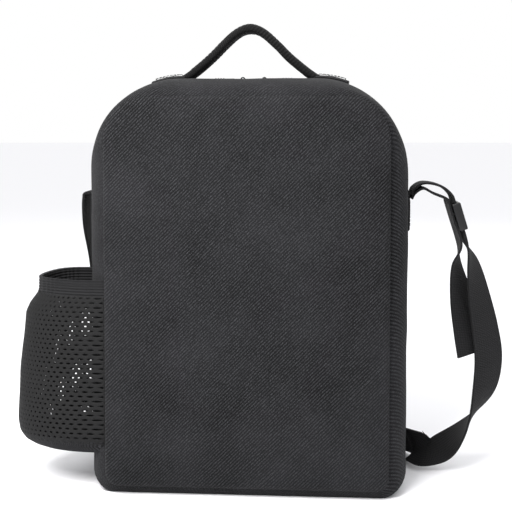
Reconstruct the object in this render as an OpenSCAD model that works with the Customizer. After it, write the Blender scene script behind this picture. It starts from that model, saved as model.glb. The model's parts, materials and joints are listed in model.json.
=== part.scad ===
// Insulated cooler bag: a padded upright bag with a zipped front flap, a top
// handle, a mesh side pocket and an adjustable shoulder strap.
// Frame: +Z up, +X to the pocket's opposite side, -Y to the plain back panel.
// The origin is the middle of the base, on the surface that the bag stands on.

/* [Body] */
// Width of the back and front panels between their seams
panel_w = 196; // [150:1:260]
// Height of the back and front panels between their seams
panel_h = 271; // [210:1:360]
// Depth of the bag from back panel to front panel
depth = 100; // [84:1:150]
// How far each padded side stands out past the panel seam
side_bulge = 14; // [8:1:24]
// How far the padded top stands up past the panel seam
top_bulge = 13; // [6:1:20]
// Height of the panel seams above the flat base
base_drop = 4; // [3:0.5:8]
// Corner radius of the panels at the top
panel_top_r = 31; // [24:1:50]
// Corner radius of the panels at the bottom
panel_bottom_r = 9; // [8:1:20]
// Corner radius of the padded sides at the top
bulge_top_r = 56; // [40:1:64]
// Corner radius of the padded sides at the bottom
bulge_bottom_r = 14; // [12:1:24]
// Length along the depth over which the sides swell out from the back panel
back_taper = 30; // [16:1:36]
// Length along the depth over which the flap's edge runs in to the front panel
front_taper = 11; // [8:1:16]

/* [Walls] */
// Thickness of the outer cloth
cloth_t = 1; // [0.6:0.1:1.6]
// Thickness of the insulating foam
foam_t = 5; // [3:0.5:8]
// Thickness of the foil lining
lining_t = 0.8; // [0.4:0.1:1.2]
// Thickness of the stiffening board in the base
board_t = 1.5; // [1:0.5:3]
// Width of the binding over the inner back seam
binding_w = 6; // [4:0.5:10]
// Thickness of the binding over the inner back seam
binding_t = 1.5; // [1:0.1:2]

/* [Flap and zipper] */
// Height of the fold that the front flap hinges on
fold_z = 70; // [60:1:100]
// Gap between the flap and the body along the fold
fold_gap = 0.6; // [0.4:0.1:1]
// Width of each zipper tape outside its teeth
tape_w = 6.5; // [5:0.5:9]
// Width of each row of zipper teeth
chain_w = 2.5; // [2:0.1:3.5]
// Thickness of the zipper teeth
chain_t = 2; // [1.6:0.1:3]
// Gap between the two rows of teeth
chain_gap = 1; // [0.8:0.1:1.4]
// Height of the zipper's end stops above the fold
stop_rise = 6; // [4:1:12]
// Length of each zipper slider
slider_l = 10; // [8:0.5:14]
// Thickness of each plate of a zipper slider
slider_plate_t = 1.2; // [1:0.1:1.6]
// Clearance between a slider's plates and the teeth
slider_clear = 0.7; // [0.6:0.1:1]
// Length of each zipper pull
pull_l = 24; // [16:1:32]
// Width of each zipper pull
pull_w = 6; // [5:0.5:9]
// Thickness of each zipper pull
pull_t = 1.4; // [1:0.1:2]

/* [Handle] */
// Distance between the handle's two feet, centre to centre
handle_span = 106; // [80:1:110]
// Height of the handle's peak above the top of the bag
handle_rise = 41; // [36:1:60]
// Width of the handle band, front to back
handle_w = 20; // [14:1:28]
// Thickness of the handle band
handle_t = 7.5; // [5:0.5:10]
// Thickness of the cloth wrapped round the handle's core
wrap_t = 1.2; // [0.8:0.1:2]

/* [Shoulder strap] */
// Width of the strap webbing
strap_w = 25; // [20:1:32]
// Thickness of the strap webbing
strap_t = 1.5; // [1:0.1:2]
// Height of the strap's anchors above the base
anchor_z = 208; // [180:1:240]
// Place of the strap's anchors along the depth, from the middle
anchor_y = 5; // [0:1:8]
// Length of each anchor tab sewn on the side
tab_l = 29; // [22:1:36]
// Length of the strap adjuster along the strap
adjuster_l = 20; // [16:1:26]
// Thickness of each bar of the strap adjuster
adjuster_bar_t = 2; // [1.6:0.1:3]
// Width of each side rail of the strap adjuster
adjuster_rail_w = 2.5; // [2:0.1:4]
// Travel of the adjuster along the strap
adjuster_travel = 8; // [4:1:10]

/* [Side pocket] */
// Height of the pocket's rim above the base
pocket_top = 150; // [120:1:170]
// Height of the pocket's underside above the base
pocket_bottom = 28; // [16:1:30]
// How far the full pocket stands out from the side
pocket_out = 56; // [40:1:66]
// How far the pocket's gathered rim stands out from the side
rim_out = 39; // [30:1:56]
// Height of the elastic rim
rim_h = 12; // [8:1:18]
// Thickness of the elastic rim
rim_t = 2; // [1.5:0.1:3]
// Thickness of the pocket's mesh
mesh_t = 1.2; // [0.8:0.1:2]
// Height of the pocket's cloth base
pocket_base_h = 9; // [6:1:14]

/* [Hidden] */
$fn = 48;

big = 1000;                              // reach of a cutting block
skin = 0.02;                             // thickness of a slice that a hull starts from
half_y = depth / 2;
panel_x = panel_w / 2;
panel_top = base_drop + panel_h;
side_x = panel_x + side_bulge;
crown_z = panel_top + top_bulge;
liner_inset = cloth_t + foam_t;
cavity_inset = liner_inset + lining_t;
taper_back_y = -half_y + back_taper;
taper_front_y = half_y - front_taper;

// The zipper runs round the straight part of the side, next to the flap's taper.
flap_tape_y = taper_front_y - tape_w;
flap_chain_y = flap_tape_y - chain_w;
body_chain_y = flap_chain_y - chain_gap - chain_w;
body_tape_y = body_chain_y - tape_w;
zip_mid_y = flap_chain_y - chain_gap / 2;
zip_end_z = fold_z + stop_rise;
chain_proud = 0.6;
chain_inset = chain_t - chain_proud;
slider_w = 2 * chain_w + chain_gap + 2;
slider_post_t = 0.5;
slider_rest_x = slider_l / 2 + 1.5;
slider_top_z = crown_z + chain_proud + slider_clear;
lug_h = 3.2;
pin_r = 0.6;
pin_z = slider_top_z + slider_plate_t + lug_h - pin_r - 0.5;
eye_clear = 0.35;

// The handle turns about a line just above the crown, where its feet flex.
patch_t = 1.2;
handle_hinge_z = crown_z + patch_t + handle_w / 2 + 0.8;
handle_peak_z = crown_z + handle_rise - handle_t;
core_w = handle_w - 2 * wrap_t;
core_t = handle_t - 2 * wrap_t;
wrap_seam = 0.5;

// The strap leaves each tab at the anchor height, clear of the tab's outer face.
tab_t = 2 * strap_t;
tab_x = side_x + tab_t;
strap_x = tab_x + 1;

// The adjuster lies on a straight run of both strands, leaning out as it goes down.
lean = 17;
adjuster_x = side_x + 36;
adjuster_z = anchor_z - 16;
adjuster_clear = 0.35;
strand_pitch = adjuster_bar_t / 2 + adjuster_clear + strap_t / 2;
run_up = adjuster_l / 2 + 1;
run_down = adjuster_l / 2 + adjuster_travel + 2;

function along(d, out) = [
    adjuster_x + d * sin(lean) + out * cos(lean), anchor_y,
    adjuster_z - d * cos(lean) + out * sin(lean)
];

// Each strap ring is a place and the direction of the webbing's width.
rear_y = half_y + 18;
floor_z = 1.2;
side_clear_x = side_x + 7;
flat = [0, 1, 0];

anchor_outer = [
    [[strap_x, anchor_y, anchor_z], flat],
    [[side_x + 6, anchor_y, anchor_z + 5], flat],
    [[side_x + 12, anchor_y, anchor_z + 8.5], flat],
    [[side_x + 20, anchor_y, anchor_z + 8], flat],
    [[side_x + 28, anchor_y, anchor_z + 4.5], flat],
    [[side_x + 33, anchor_y, anchor_z - 0.5], flat],
    [along(-run_up, strand_pitch), flat],
    [along(0, strand_pitch), flat]
];
anchor_inner = [
    [[strap_x, anchor_y, anchor_z - 3], flat],
    [[side_x + 6.5, anchor_y, anchor_z + 1.5], flat],
    [[side_x + 12.5, anchor_y, anchor_z + 3], flat],
    [[side_x + 20, anchor_y, anchor_z + 0.5], flat],
    [along(-run_up - 3, -strand_pitch), flat],
    [along(-run_up, -strand_pitch), flat],
    [along(0, -strand_pitch), flat]
];
tail = [
    [along(0, -strand_pitch), flat],
    [along(run_down, -strand_pitch), flat],
    [[side_x + 38, anchor_y + 1, anchor_z - 52], flat],
    [[side_x + 41, anchor_y + 2, anchor_z - 76], flat],
    [[side_x + 45, anchor_y + 3, anchor_z - 100], flat],
    [[side_x + 47, anchor_y + 4, anchor_z - 118], flat]
];
long_run = [
    [along(0, strand_pitch), flat],
    [along(run_down, strand_pitch), flat],
    [[side_x + 50, anchor_y + 1, anchor_z - 52], [0.2, 1, 0]],
    [[side_x + 55, anchor_y + 3, anchor_z - 76], [0.4, 1, 0]],
    [[side_x + 60, anchor_y + 5, anchor_z - 100], [0.6, 1, 0]],
    [[side_x + 63, anchor_y + 7, anchor_z - 122], [0.7, 1, 0]],
    [[side_x + 61, anchor_y + 9, anchor_z - 144], [0.7, 1, 0.2]],
    [[side_x + 54, anchor_y + 11, anchor_z - 163], [0.5, 1, 0.5]],
    [[side_x + 43, anchor_y + 13, floor_z + 27], [0.3, 1, 0.8]],
    [[side_x + 31, anchor_y + 15, floor_z + 15], [0, 1, 0.8]],
    [[side_x + 18, anchor_y + 18, floor_z + 9], [0.1, 1, 0.5]],
    [[side_clear_x + 3, anchor_y + 30, floor_z + 12.5], [-0.4, 0.6, 0.6]],
    [[side_clear_x - 1, anchor_y + 46, floor_z + 13], [-0.3, 0.2, 1]],
    [[side_x - 6, rear_y - 6, floor_z + 14], [-0.1, 0, 1]],
    [[side_x - 26, rear_y, floor_z + 14], [0, -0.1, 1]],
    [[0, rear_y + 2, floor_z + 15], [0, -0.1, 1]],
    [[-side_x + 30, rear_y + 1, floor_z + 16], [0.1, -0.1, 1]],
    [[-side_x + 8, rear_y, floor_z + 22], [0.6, 0.1, 1]],
    [[-side_x - 8, rear_y - 3, floor_z + 36], [1, 0.9, 0.9]],
    [[-side_clear_x - 8, rear_y - 9, floor_z + 60], [0.3, 1, 0.3]],
    [[-side_clear_x - 8, rear_y - 15, floor_z + 95], [0, 1, 0.2]],
    [[-side_clear_x - 7, rear_y - 22, floor_z + 130], [0, 1, 0.3]],
    [[-side_clear_x - 6.5, rear_y - 34, floor_z + 160], [0, 1, 0.5]],
    [[-side_clear_x - 6, anchor_y + 10, anchor_z - 20], [0, 1, 0.4]],
    [[-side_clear_x - 4, anchor_y + 2, anchor_z - 5], [0, 1, 0.1]],
    [[-side_clear_x - 1.5, anchor_y, anchor_z + 0.5], flat],
    [[-strap_x, anchor_y, anchor_z], flat]
];

// The pocket is sewn in at the back panel's seam and to the side before the zipper.
pocket_back_y = -half_y + 2;
pocket_front_y = body_tape_y - 4;
pocket_mid_y = (pocket_back_y + pocket_front_y) / 2;
pocket_r = (pocket_front_y - pocket_back_y) / 2;
mesh_low = pocket_bottom + pocket_base_h;
mesh_high = pocket_top - rim_h;

// Outline of a panel or of the swollen side, standing in the XZ plane.
module outline(half_w, low, high, top_r, bottom_r) {
    translate([-half_w, low + bottom_r]) square([2 * half_w, high - low - top_r - bottom_r]);
    translate([-half_w + top_r, high - top_r]) square([2 * (half_w - top_r), top_r]);
    translate([-half_w + bottom_r, low]) square([2 * (half_w - bottom_r), bottom_r]);
    for (s = [-1, 1]) {
        translate([s * (half_w - top_r), high - top_r]) circle(top_r);
        translate([s * (half_w - bottom_r), low + bottom_r]) circle(bottom_r);
    }
}

module slab(y0, y1) {
    translate([0, y1, 0]) rotate([90, 0, 0]) linear_extrude(y1 - y0) children();
}

module panel_outline(inset) {
    outline(panel_x - inset, base_drop + inset, panel_top - inset, panel_top_r - inset,
            max(panel_bottom_r - inset, 1));
}

module side_outline(inset) {
    outline(side_x - inset, inset, crown_z - inset, bulge_top_r - inset, bulge_bottom_r - inset);
}

// The whole bag as one solid, drawn in by an inset all round but not at its ends.
module bag_form(inset) {
    hull() {
        slab(-half_y, -half_y + skin) panel_outline(inset);
        slab(taper_back_y - skin, taper_back_y) side_outline(inset);
    }
    slab(taper_back_y, taper_front_y) side_outline(inset);
    hull() {
        slab(taper_front_y, taper_front_y + skin) side_outline(inset);
        slab(half_y - skin, half_y) panel_outline(inset);
    }
}

module band(outer_inset, inner_inset, y0, y1) {
    intersection() {
        difference() {
            bag_form(outer_inset);
            bag_form(inner_inset);
        }
        block(y0, y1, -big, big);
    }
}

module block(y0, y1, z0, z1) {
    translate([-big / 2, y0, z0]) cube([big, y1 - y0, z1 - z0]);
}

// What the zipper and the fold leave on the body: all but the flap's corner.
module body_side(y_edge) {
    difference() {
        children();
        block(y_edge, big, fold_z, big);
    }
}

module back_panel() {
    color("#2b2c2f") slab(-half_y, -half_y + cloth_t) panel_outline(0);
}

module back_foam() {
    color("#d8d8d4") slab(-half_y + cloth_t, -half_y + liner_inset) panel_outline(cloth_t);
}

module side_gusset() {
    color("#27282b") difference() {
        body_side(body_tape_y) band(0, cloth_t, -half_y + cloth_t, half_y - cloth_t);
        block(-big, big, -big, cloth_t);
    }
}

module base_panel() {
    color("#232427") intersection() {
        band(0, cloth_t, -half_y + cloth_t, half_y - cloth_t);
        block(-big, big, -big, cloth_t);
    }
}

module foam_band() {
    body_side(body_tape_y) band(cloth_t, liner_inset, -half_y + liner_inset, half_y - liner_inset);
}

module wall_foam() {
    color("#d8d8d4") difference() {
        foam_band();
        block(-big, big, -big, bulge_bottom_r);
    }
}

module base_foam() {
    color("#d8d8d4") difference() {
        intersection() {
            foam_band();
            block(-big, big, -big, bulge_bottom_r);
        }
        base_board();
    }
}

module base_board() {
    board_w = 2 * (side_x - bulge_bottom_r) - 4;
    color("#b9b9b4") translate([-board_w / 2, taper_back_y, cloth_t])
        cube([board_w, taper_front_y - taper_back_y, board_t]);
}

module front_lower_panel() {
    color("#2b2c2f") intersection() {
        slab(half_y - cloth_t, half_y) panel_outline(0);
        block(-big, big, -big, fold_z);
    }
}

module front_lower_foam() {
    color("#d8d8d4") intersection() {
        slab(half_y - liner_inset, half_y - cloth_t) panel_outline(cloth_t);
        block(-big, big, -big, fold_z);
    }
}

module lining() {
    color("#c9ccd0") body_side(body_tape_y) difference() {
        intersection() {
            bag_form(liner_inset);
            block(-half_y + liner_inset, half_y - liner_inset, -big, big);
        }
        intersection() {
            bag_form(cavity_inset);
            block(-half_y + cavity_inset, half_y - cavity_inset, -big, big);
        }
    }
}

module inner_binding() {
    color("#1f2022")
        band(cavity_inset, cavity_inset + binding_t, -half_y + cavity_inset,
             -half_y + cavity_inset + binding_w);
}

module zip_arch(outer_inset, inner_inset, y0, y1) {
    difference() {
        slab(y0, y1) difference() {
            side_outline(outer_inset);
            side_outline(inner_inset);
        }
        block(-big, big, -big, zip_end_z);
    }
}

module body_zip_tape() {
    color("#1b1c1e") difference() {
        band(0, cloth_t, body_tape_y, body_chain_y);
        block(-big, big, -big, fold_z);
    }
}

module body_zip_chain() {
    color("#151618") zip_arch(-chain_proud, chain_inset, body_chain_y, body_chain_y + chain_w);
}

module zip_end_stops() {
    color("#3a3b3e") for (s = [-1, 1])
        translate([s * (side_x - chain_t / 2 + chain_proud), body_chain_y + chain_w / 2,
                   zip_end_z - stop_rise / 2])
            cube([chain_t, chain_w, stop_rise], center = true);
}

module front_panel() {
    color("#2b2c2f") intersection() {
        slab(half_y - cloth_t, half_y) panel_outline(0);
        block(-big, big, fold_z + fold_gap, big);
    }
}

module front_foam() {
    color("#d8d8d4") intersection() {
        slab(half_y - liner_inset, half_y - cloth_t) panel_outline(cloth_t);
        block(-big, big, fold_z + fold_gap, big);
    }
}

module flap_lining() {
    color("#c9ccd0") intersection() {
        slab(half_y - cavity_inset, half_y - liner_inset) panel_outline(cloth_t);
        block(-big, big, fold_z + fold_gap, big);
    }
}

module flap_gusset() {
    color("#27282b") intersection() {
        band(0, cloth_t, taper_front_y, half_y - cloth_t);
        block(-big, big, fold_z + fold_gap, big);
    }
}

module flap_zip_tape() {
    color("#1b1c1e") intersection() {
        band(0, cloth_t, flap_tape_y, taper_front_y);
        block(-big, big, fold_z + fold_gap, big);
    }
}

module flap_zip_chain() {
    color("#151618") zip_arch(-chain_proud, chain_inset, flap_chain_y, flap_tape_y);
}

// A slider at the middle of the zipper's top run, with a lug for its pull.
module zip_slider(side) {
    under_z = crown_z - chain_inset - slider_clear - slider_plate_t;
    lug_gap = pull_w * 0.4;
    color("#1c1d1f") translate([side * slider_rest_x, zip_mid_y, 0]) {
        for (z = [under_z, slider_top_z])
            translate([-slider_l / 2, -slider_w / 2, z]) cube([slider_l, slider_w, slider_plate_t]);
        translate([-slider_l / 4, -slider_post_t / 2, under_z])
            cube([slider_l / 2, slider_post_t, slider_top_z - under_z + skin]);
        for (s = [-1, 1])
            translate([side * slider_l / 6 - 1, s * (lug_gap / 2 + 0.5) - 0.5, slider_top_z])
                cube([2, 1, slider_plate_t + lug_h]);
        translate([side * slider_l / 6, 0, pin_z]) rotate([90, 0, 0])
            cylinder(r = pin_r, h = lug_gap + 1, center = true);
    }
}

module zip_slider_left() { zip_slider(-1); }

module zip_slider_right() { zip_slider(1); }

// A pull that lies flat, pointing away from the middle of the bag.
module zip_pull(side) {
    eye_r = pin_r + eye_clear;
    neck_w = pull_w * 0.4 - 0.6;
    neck_l = 5;
    color("#1c1d1f") translate([side * (slider_rest_x + slider_l / 6), zip_mid_y, pin_z])
        difference() {
            union() {
                rotate([90, 0, 0]) cylinder(r = eye_r + 0.7, h = neck_w, center = true);
                translate([side > 0 ? 0 : -neck_l, -neck_w / 2, -pull_t / 2])
                    cube([neck_l, neck_w, pull_t]);
                translate([side > 0 ? neck_l : -pull_l, -pull_w / 2, -pull_t / 2])
                    cube([pull_l - neck_l, pull_w, pull_t]);
            }
            rotate([90, 0, 0]) cylinder(r = eye_r, h = 2 * pull_w, center = true);
        }
}

module zip_pull_left() { zip_pull(-1); }

module zip_pull_right() { zip_pull(1); }

module handle_patch(side) {
    color("#202124") translate([side * handle_span / 2 + side * 6, 0, crown_z])
        translate([-12, -handle_w / 2, 0]) cube([24, handle_w, patch_t]);
}

module handle_patch_left() { handle_patch(-1); }

module handle_patch_right() { handle_patch(1); }

// The handle's side view is one bent bar; each foot is rounded about the hinge line.
module handle_bar(width, thick) {
    foot_x = handle_span / 2;
    shoulder = [foot_x - 7, 0, handle_hinge_z + 4.5];
    peak = [8, 0, handle_peak_z + handle_t / 2];
    for (s = [-1, 1]) {
        hull() {
            translate([s * foot_x, 0, handle_hinge_z]) rotate([0, 90, 0])
                cylinder(d = width, h = thick, center = true);
            bar_end(s, shoulder, width, thick);
        }
        hull() {
            bar_end(s, shoulder, width, thick);
            bar_end(s, peak, width, thick);
        }
    }
    hull() for (s = [-1, 1]) bar_end(s, peak, width, thick);
}

module bar_end(side, place, width, thick) {
    translate([side * place[0], place[1], place[2]]) cube([thick, width, thick], center = true);
}

// The wrap closes under the handle, where its two edges leave a fine seam.
module handle_wrap() {
    color("#1d1e20") difference() {
        handle_bar(handle_w, handle_t);
        handle_bar(core_w, core_t);
        translate([0, 0, -wrap_t - 0.5]) handle_bar(wrap_seam, core_t);
    }
}

module handle_core() {
    color("#8d8d89") handle_bar(core_w, core_t);
}

module strap_tab(side) {
    color("#1b1c1e")
        translate([side > 0 ? side_x : -tab_x, anchor_y - strap_w / 2, anchor_z + 3 - tab_l])
            cube([tab_t, strap_w, tab_l]);
}

module strap_tab_left() { strap_tab(-1); }

module strap_tab_right() { strap_tab(1); }

// A flat ribbon through rings of [place, width direction]; its thickness lies
// across both the route and the width.
function unit(v) = v / norm(v);
function heading(run, i) = unit(run[min(i + 1, len(run) - 1)][0] - run[max(i - 1, 0)][0]);
function ring(run, i) =
    let (t = heading(run, i), n = unit(cross(t, run[i][1])), w = unit(cross(n, t)), p = run[i][0])
    [for (c = [[-1, -1], [1, -1], [1, 1], [-1, 1]])
        p + c[0] * w * strap_w / 2 + c[1] * n * strap_t / 2];

module ribbon(run) {
    last = len(run) - 1;
    polyhedron(
        points = [for (i = [0 : last]) each ring(run, i)],
        faces = [
            [0, 1, 2, 3],
            for (i = [0 : last - 1], k = [0 : 3])
                let (a = 4 * i + k, b = 4 * i + (k + 1) % 4)
                    each k < 2 ? [[a, a + 4, b + 4], [a, b + 4, b]] : [[a, a + 4, b], [a + 4, b + 4, b]],
            [for (k = [3 : -1 : 0]) 4 * last + k]
        ]);
}

module anchor_webbing() {
    color("#1b1c1e") {
        ribbon(anchor_outer);
        ribbon(anchor_inner);
    }
}

module strap_webbing() {
    color("#1b1c1e") ribbon(long_run);
}

module strap_tail() {
    color("#1b1c1e") ribbon(tail);
}

// Two end bars outside the strap and a middle bar between its two strands,
// joined by a rail at each side.
module strap_adjuster() {
    rail_in = strap_w / 2 + adjuster_clear;
    end_bar_in = adjuster_bar_t / 2 + 2 * adjuster_clear + strap_t;
    bar_l = 2 * (rail_in + adjuster_rail_w);
    bar_w = adjuster_l / 5;
    color("#141516") translate([adjuster_x, anchor_y, adjuster_z]) rotate([0, -lean, 0]) {
        for (s = [-1, 1]) {
            translate([-adjuster_bar_t / 2, s > 0 ? rail_in : -bar_l / 2, -adjuster_l / 2])
                cube([end_bar_in + 1.5 * adjuster_bar_t, adjuster_rail_w, adjuster_l]);
            translate([end_bar_in, -bar_l / 2, s * (adjuster_l - bar_w) / 2 - bar_w / 2])
                cube([adjuster_bar_t, bar_l, bar_w]);
        }
        translate([-adjuster_bar_t / 2, -bar_l / 2, -bar_w / 2])
            cube([adjuster_bar_t, bar_l, bar_w]);
    }
}

// A closed form lofted through oval levels; each level is a height and how far
// its oval stands out from the bag's side.
module oval_loft(levels, inset) {
    sides = 40;
    last = len(levels) - 1;
    inner_x = panel_x - 14;
    rings = [
        for (l = levels, k = [0 : sides - 1])
            let (a = k * 360 / sides, outer_x = side_x + l[1] - inset)
            [-(inner_x + outer_x) / 2 - (outer_x - inner_x) / 2 * cos(a),
             pocket_mid_y + (pocket_r - inset) * sin(a), l[0]]
    ];
    polyhedron(
        points = rings,
        faces = [
            [for (k = [sides - 1 : -1 : 0]) k],
            for (i = [0 : last - 1], k = [0 : sides - 1])
                let (a = sides * i + k, b = sides * i + (k + 1) % sides)
                    each [[a, b, b + sides], [a, b + sides, a + sides]],
            [for (k = [0 : sides - 1]) sides * last + k]
        ]);
}

module outside_bag() {
    difference() {
        children();
        bag_form(0);
    }
}

module pocket_mesh() {
    color("#202123") outside_bag() difference() {
        oval_loft([[mesh_low, pocket_out - 1], [mesh_low + 12, pocket_out],
                   [mesh_high - 10, pocket_out - 6], [mesh_high, rim_out]], 0);
        oval_loft([[mesh_low - 1, pocket_out - 1], [mesh_low + 12, pocket_out],
                   [mesh_high - 10, pocket_out - 6], [mesh_high, rim_out],
                   [mesh_high + 1, rim_out]], mesh_t);
    }
}

module pocket_base() {
    color("#232427") outside_bag() difference() {
        oval_loft([[pocket_bottom, pocket_out - 9], [mesh_low, pocket_out - 1]], 0);
        oval_loft([[pocket_bottom + mesh_t, pocket_out - 9], [mesh_low, pocket_out - 1],
                   [mesh_low + 1, pocket_out - 1]], mesh_t);
    }
}

module pocket_rim() {
    color("#17181a") outside_bag() difference() {
        oval_loft([[mesh_high, rim_out], [pocket_top, rim_out]], 0);
        oval_loft([[mesh_high - 1, rim_out], [pocket_top + 1, rim_out]], rim_t);
    }
}

back_panel();
back_foam();
side_gusset();
base_panel();
wall_foam();
base_foam();
base_board();
front_lower_panel();
front_lower_foam();
lining();
inner_binding();
body_zip_tape();
body_zip_chain();
zip_end_stops();
front_panel();
front_foam();
flap_lining();
flap_gusset();
flap_zip_tape();
flap_zip_chain();
zip_slider_left();
zip_slider_right();
zip_pull_left();
zip_pull_right();
handle_patch_left();
handle_patch_right();
handle_wrap();
handle_core();
strap_tab_left();
strap_tab_right();
anchor_webbing();
strap_webbing();
strap_tail();
strap_adjuster();
pocket_mesh();
pocket_rim();
pocket_base();
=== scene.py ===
"""Dresses the insulated cooler bag: cloth, webbing, net, zipper and fittings."""

import json
import logging
import math
from dataclasses import dataclass, field, replace
from enum import Enum
from typing import Callable, Sequence

import bpy
import numpy as np
from mathutils import Matrix, Vector, noise


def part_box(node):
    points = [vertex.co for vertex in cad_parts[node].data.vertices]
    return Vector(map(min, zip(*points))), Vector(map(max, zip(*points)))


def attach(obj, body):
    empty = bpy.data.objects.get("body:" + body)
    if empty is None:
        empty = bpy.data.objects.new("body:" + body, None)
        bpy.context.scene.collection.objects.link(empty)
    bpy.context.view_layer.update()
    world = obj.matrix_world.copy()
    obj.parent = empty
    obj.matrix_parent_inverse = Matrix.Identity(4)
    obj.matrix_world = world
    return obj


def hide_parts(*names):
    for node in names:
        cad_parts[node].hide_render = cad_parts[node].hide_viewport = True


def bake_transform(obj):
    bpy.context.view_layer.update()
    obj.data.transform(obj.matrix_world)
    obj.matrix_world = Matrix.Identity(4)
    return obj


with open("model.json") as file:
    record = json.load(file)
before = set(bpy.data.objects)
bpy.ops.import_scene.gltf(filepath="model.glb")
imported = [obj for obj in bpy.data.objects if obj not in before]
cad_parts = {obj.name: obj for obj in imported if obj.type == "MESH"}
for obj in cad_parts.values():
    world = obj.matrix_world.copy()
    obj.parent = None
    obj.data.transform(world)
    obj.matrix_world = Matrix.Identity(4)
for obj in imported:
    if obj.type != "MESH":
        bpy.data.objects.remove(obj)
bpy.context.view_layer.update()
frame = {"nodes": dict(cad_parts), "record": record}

log = logging.getLogger("cooler_bag")
MM = 0.001
MIDDLE = Vector((0, 0, 0.15))  # the middle of the bag
Place = Callable[[float, float], Vector]  # a point in metres for two shares from 0 to 1


class Body(str, Enum):
    """The moving bodies that pieces ride on."""

    BAG = "bag"
    FLAP = "flap"
    HANDLE = "handle"
    STRAP = "strap"
    ADJUSTER = "adjuster"


class Side(Enum):
    """The two sides of the bag, as the sign of X."""

    LEFT = -1
    RIGHT = 1

    @property
    def word(self) -> str:
        """The side's name as used in node names."""
        return self.name.lower()


# ---------------------------------------------------------------- modelling helpers


def deselect_all() -> None:
    """Leaves object mode with nothing selected."""
    if bpy.context.object and bpy.context.object.mode != "OBJECT":
        bpy.ops.object.mode_set(mode="OBJECT")
    bpy.ops.object.select_all(action="DESELECT")


def make_active(obj: bpy.types.Object) -> None:
    """Selects one object alone and makes it active."""
    deselect_all()
    obj.select_set(True)
    bpy.context.view_layer.objects.active = obj


def named(name: str) -> bpy.types.Object:
    """Names the primitive that was just added, with its place moved into its mesh.

    Args:
        name: The piece's name.
    Returns:
        The active object.
    """
    obj = bpy.context.object
    obj.name = obj.data.name = name
    bpy.ops.object.transform_apply(location=True, rotation=True, scale=True)
    return obj


def apply_modifier(obj: bpy.types.Object, kind: str, **settings: object) -> None:
    """Adds one modifier with its settings and applies it.

    Args:
        obj: The object to change.
        kind: Blender's modifier type.
        settings: The modifier's own properties.
    """
    make_active(obj)
    modifier = obj.modifiers.new(kind.title(), kind)
    for key, value in settings.items():
        setattr(modifier, key, value)
    bpy.ops.object.modifier_apply(modifier=modifier.name)


def smooth(obj: bpy.types.Object, angle: float = 180.0) -> None:
    """Shades an object smooth up to an angle in degrees."""
    make_active(obj)
    bpy.ops.object.shade_smooth_by_angle(angle=math.radians(angle))


def edit(obj: bpy.types.Object, *steps: Callable[[], object]) -> None:
    """Runs edit-mode operators on the whole of an object's mesh.

    Args:
        obj: The object to edit.
        steps: Calls that each run one operator.
    """
    make_active(obj)
    bpy.ops.object.mode_set(mode="EDIT")
    bpy.ops.mesh.select_all(action="SELECT")
    for step in steps:
        step()
    bpy.ops.object.mode_set(mode="OBJECT")


def outward(obj: bpy.types.Object, merge: float = 1e-5) -> None:
    """Merges doubled points and turns the faces outwards."""
    edit(obj, lambda: bpy.ops.mesh.remove_doubles(threshold=merge),
         lambda: bpy.ops.mesh.normals_make_consistent(inside=False))


def close_ends(obj: bpy.types.Object, fill: Callable[[], object], angle: float) -> None:
    """Closes an object's open edges.

    Args:
        obj: The object to close.
        fill: The operator that fills the selected edges.
        angle: The angle in degrees up to which it is then shaded smooth.
    """
    edit(obj, lambda: bpy.ops.mesh.select_all(action="DESELECT"),
         lambda: bpy.ops.mesh.select_non_manifold(extend=False),
         fill,
         lambda: bpy.ops.mesh.select_all(action="SELECT"),
         lambda: bpy.ops.mesh.normals_make_consistent(inside=False))
    smooth(obj, angle)


def cloth(name: str, across: int, along: int, place: Place, thick: float = 0.0,
          offset: float = -1.0) -> bpy.types.Object:
    """Shapes a flat grid into a cloth whose UV map is its own measure in metres.

    Args:
        name: The piece's name.
        across: Number of cells in the grid's first direction.
        along: Number of cells in its second direction.
        place: Gives the point in metres for two shares from 0 to 1.
        thick: Thickness in metres, or 0 for a bare surface.
        offset: Which way the thickness grows, from -1 to 1.
    Returns:
        The finished object.
    """
    deselect_all()
    bpy.ops.mesh.primitive_grid_add(x_subdivisions=across, y_subdivisions=along, size=1)
    obj = named(name)
    mesh = obj.data
    flat = np.empty(len(mesh.vertices) * 3)
    mesh.vertices.foreach_get("co", flat)
    share = flat.reshape(-1, 3)[:, :2] + 0.5
    cell = np.rint(share * (across, along)).astype(int)
    grid = np.zeros((across + 1, along + 1, 3))
    for i, j in np.ndindex(across + 1, along + 1):
        grid[i, j] = place(i / across, j / along)
    mesh.vertices.foreach_set("co", grid[cell[:, 0], cell[:, 1]].ravel())
    u = np.zeros(grid.shape[:2])
    v = np.zeros(grid.shape[:2])
    u[1:] = np.cumsum(np.linalg.norm(np.diff(grid, axis=0), axis=2), axis=0)
    v[:, 1:] = np.cumsum(np.linalg.norm(np.diff(grid, axis=1), axis=2), axis=1)
    u -= u[-1:] / 2
    corner = np.empty(len(mesh.loops), dtype=int)
    mesh.loops.foreach_get("vertex_index", corner)
    i, j = cell[corner, 0], cell[corner, 1]
    mesh.uv_layers.active.data.foreach_set("uv",
                                           np.stack([u[i, j], v[i, j]], axis=1).ravel())
    mesh.update()
    outward(obj)
    if thick:
        apply_modifier(obj, "SOLIDIFY", thickness=thick, offset=offset,
                       use_even_offset=True)
    smooth(obj, 60)
    return obj


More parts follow.
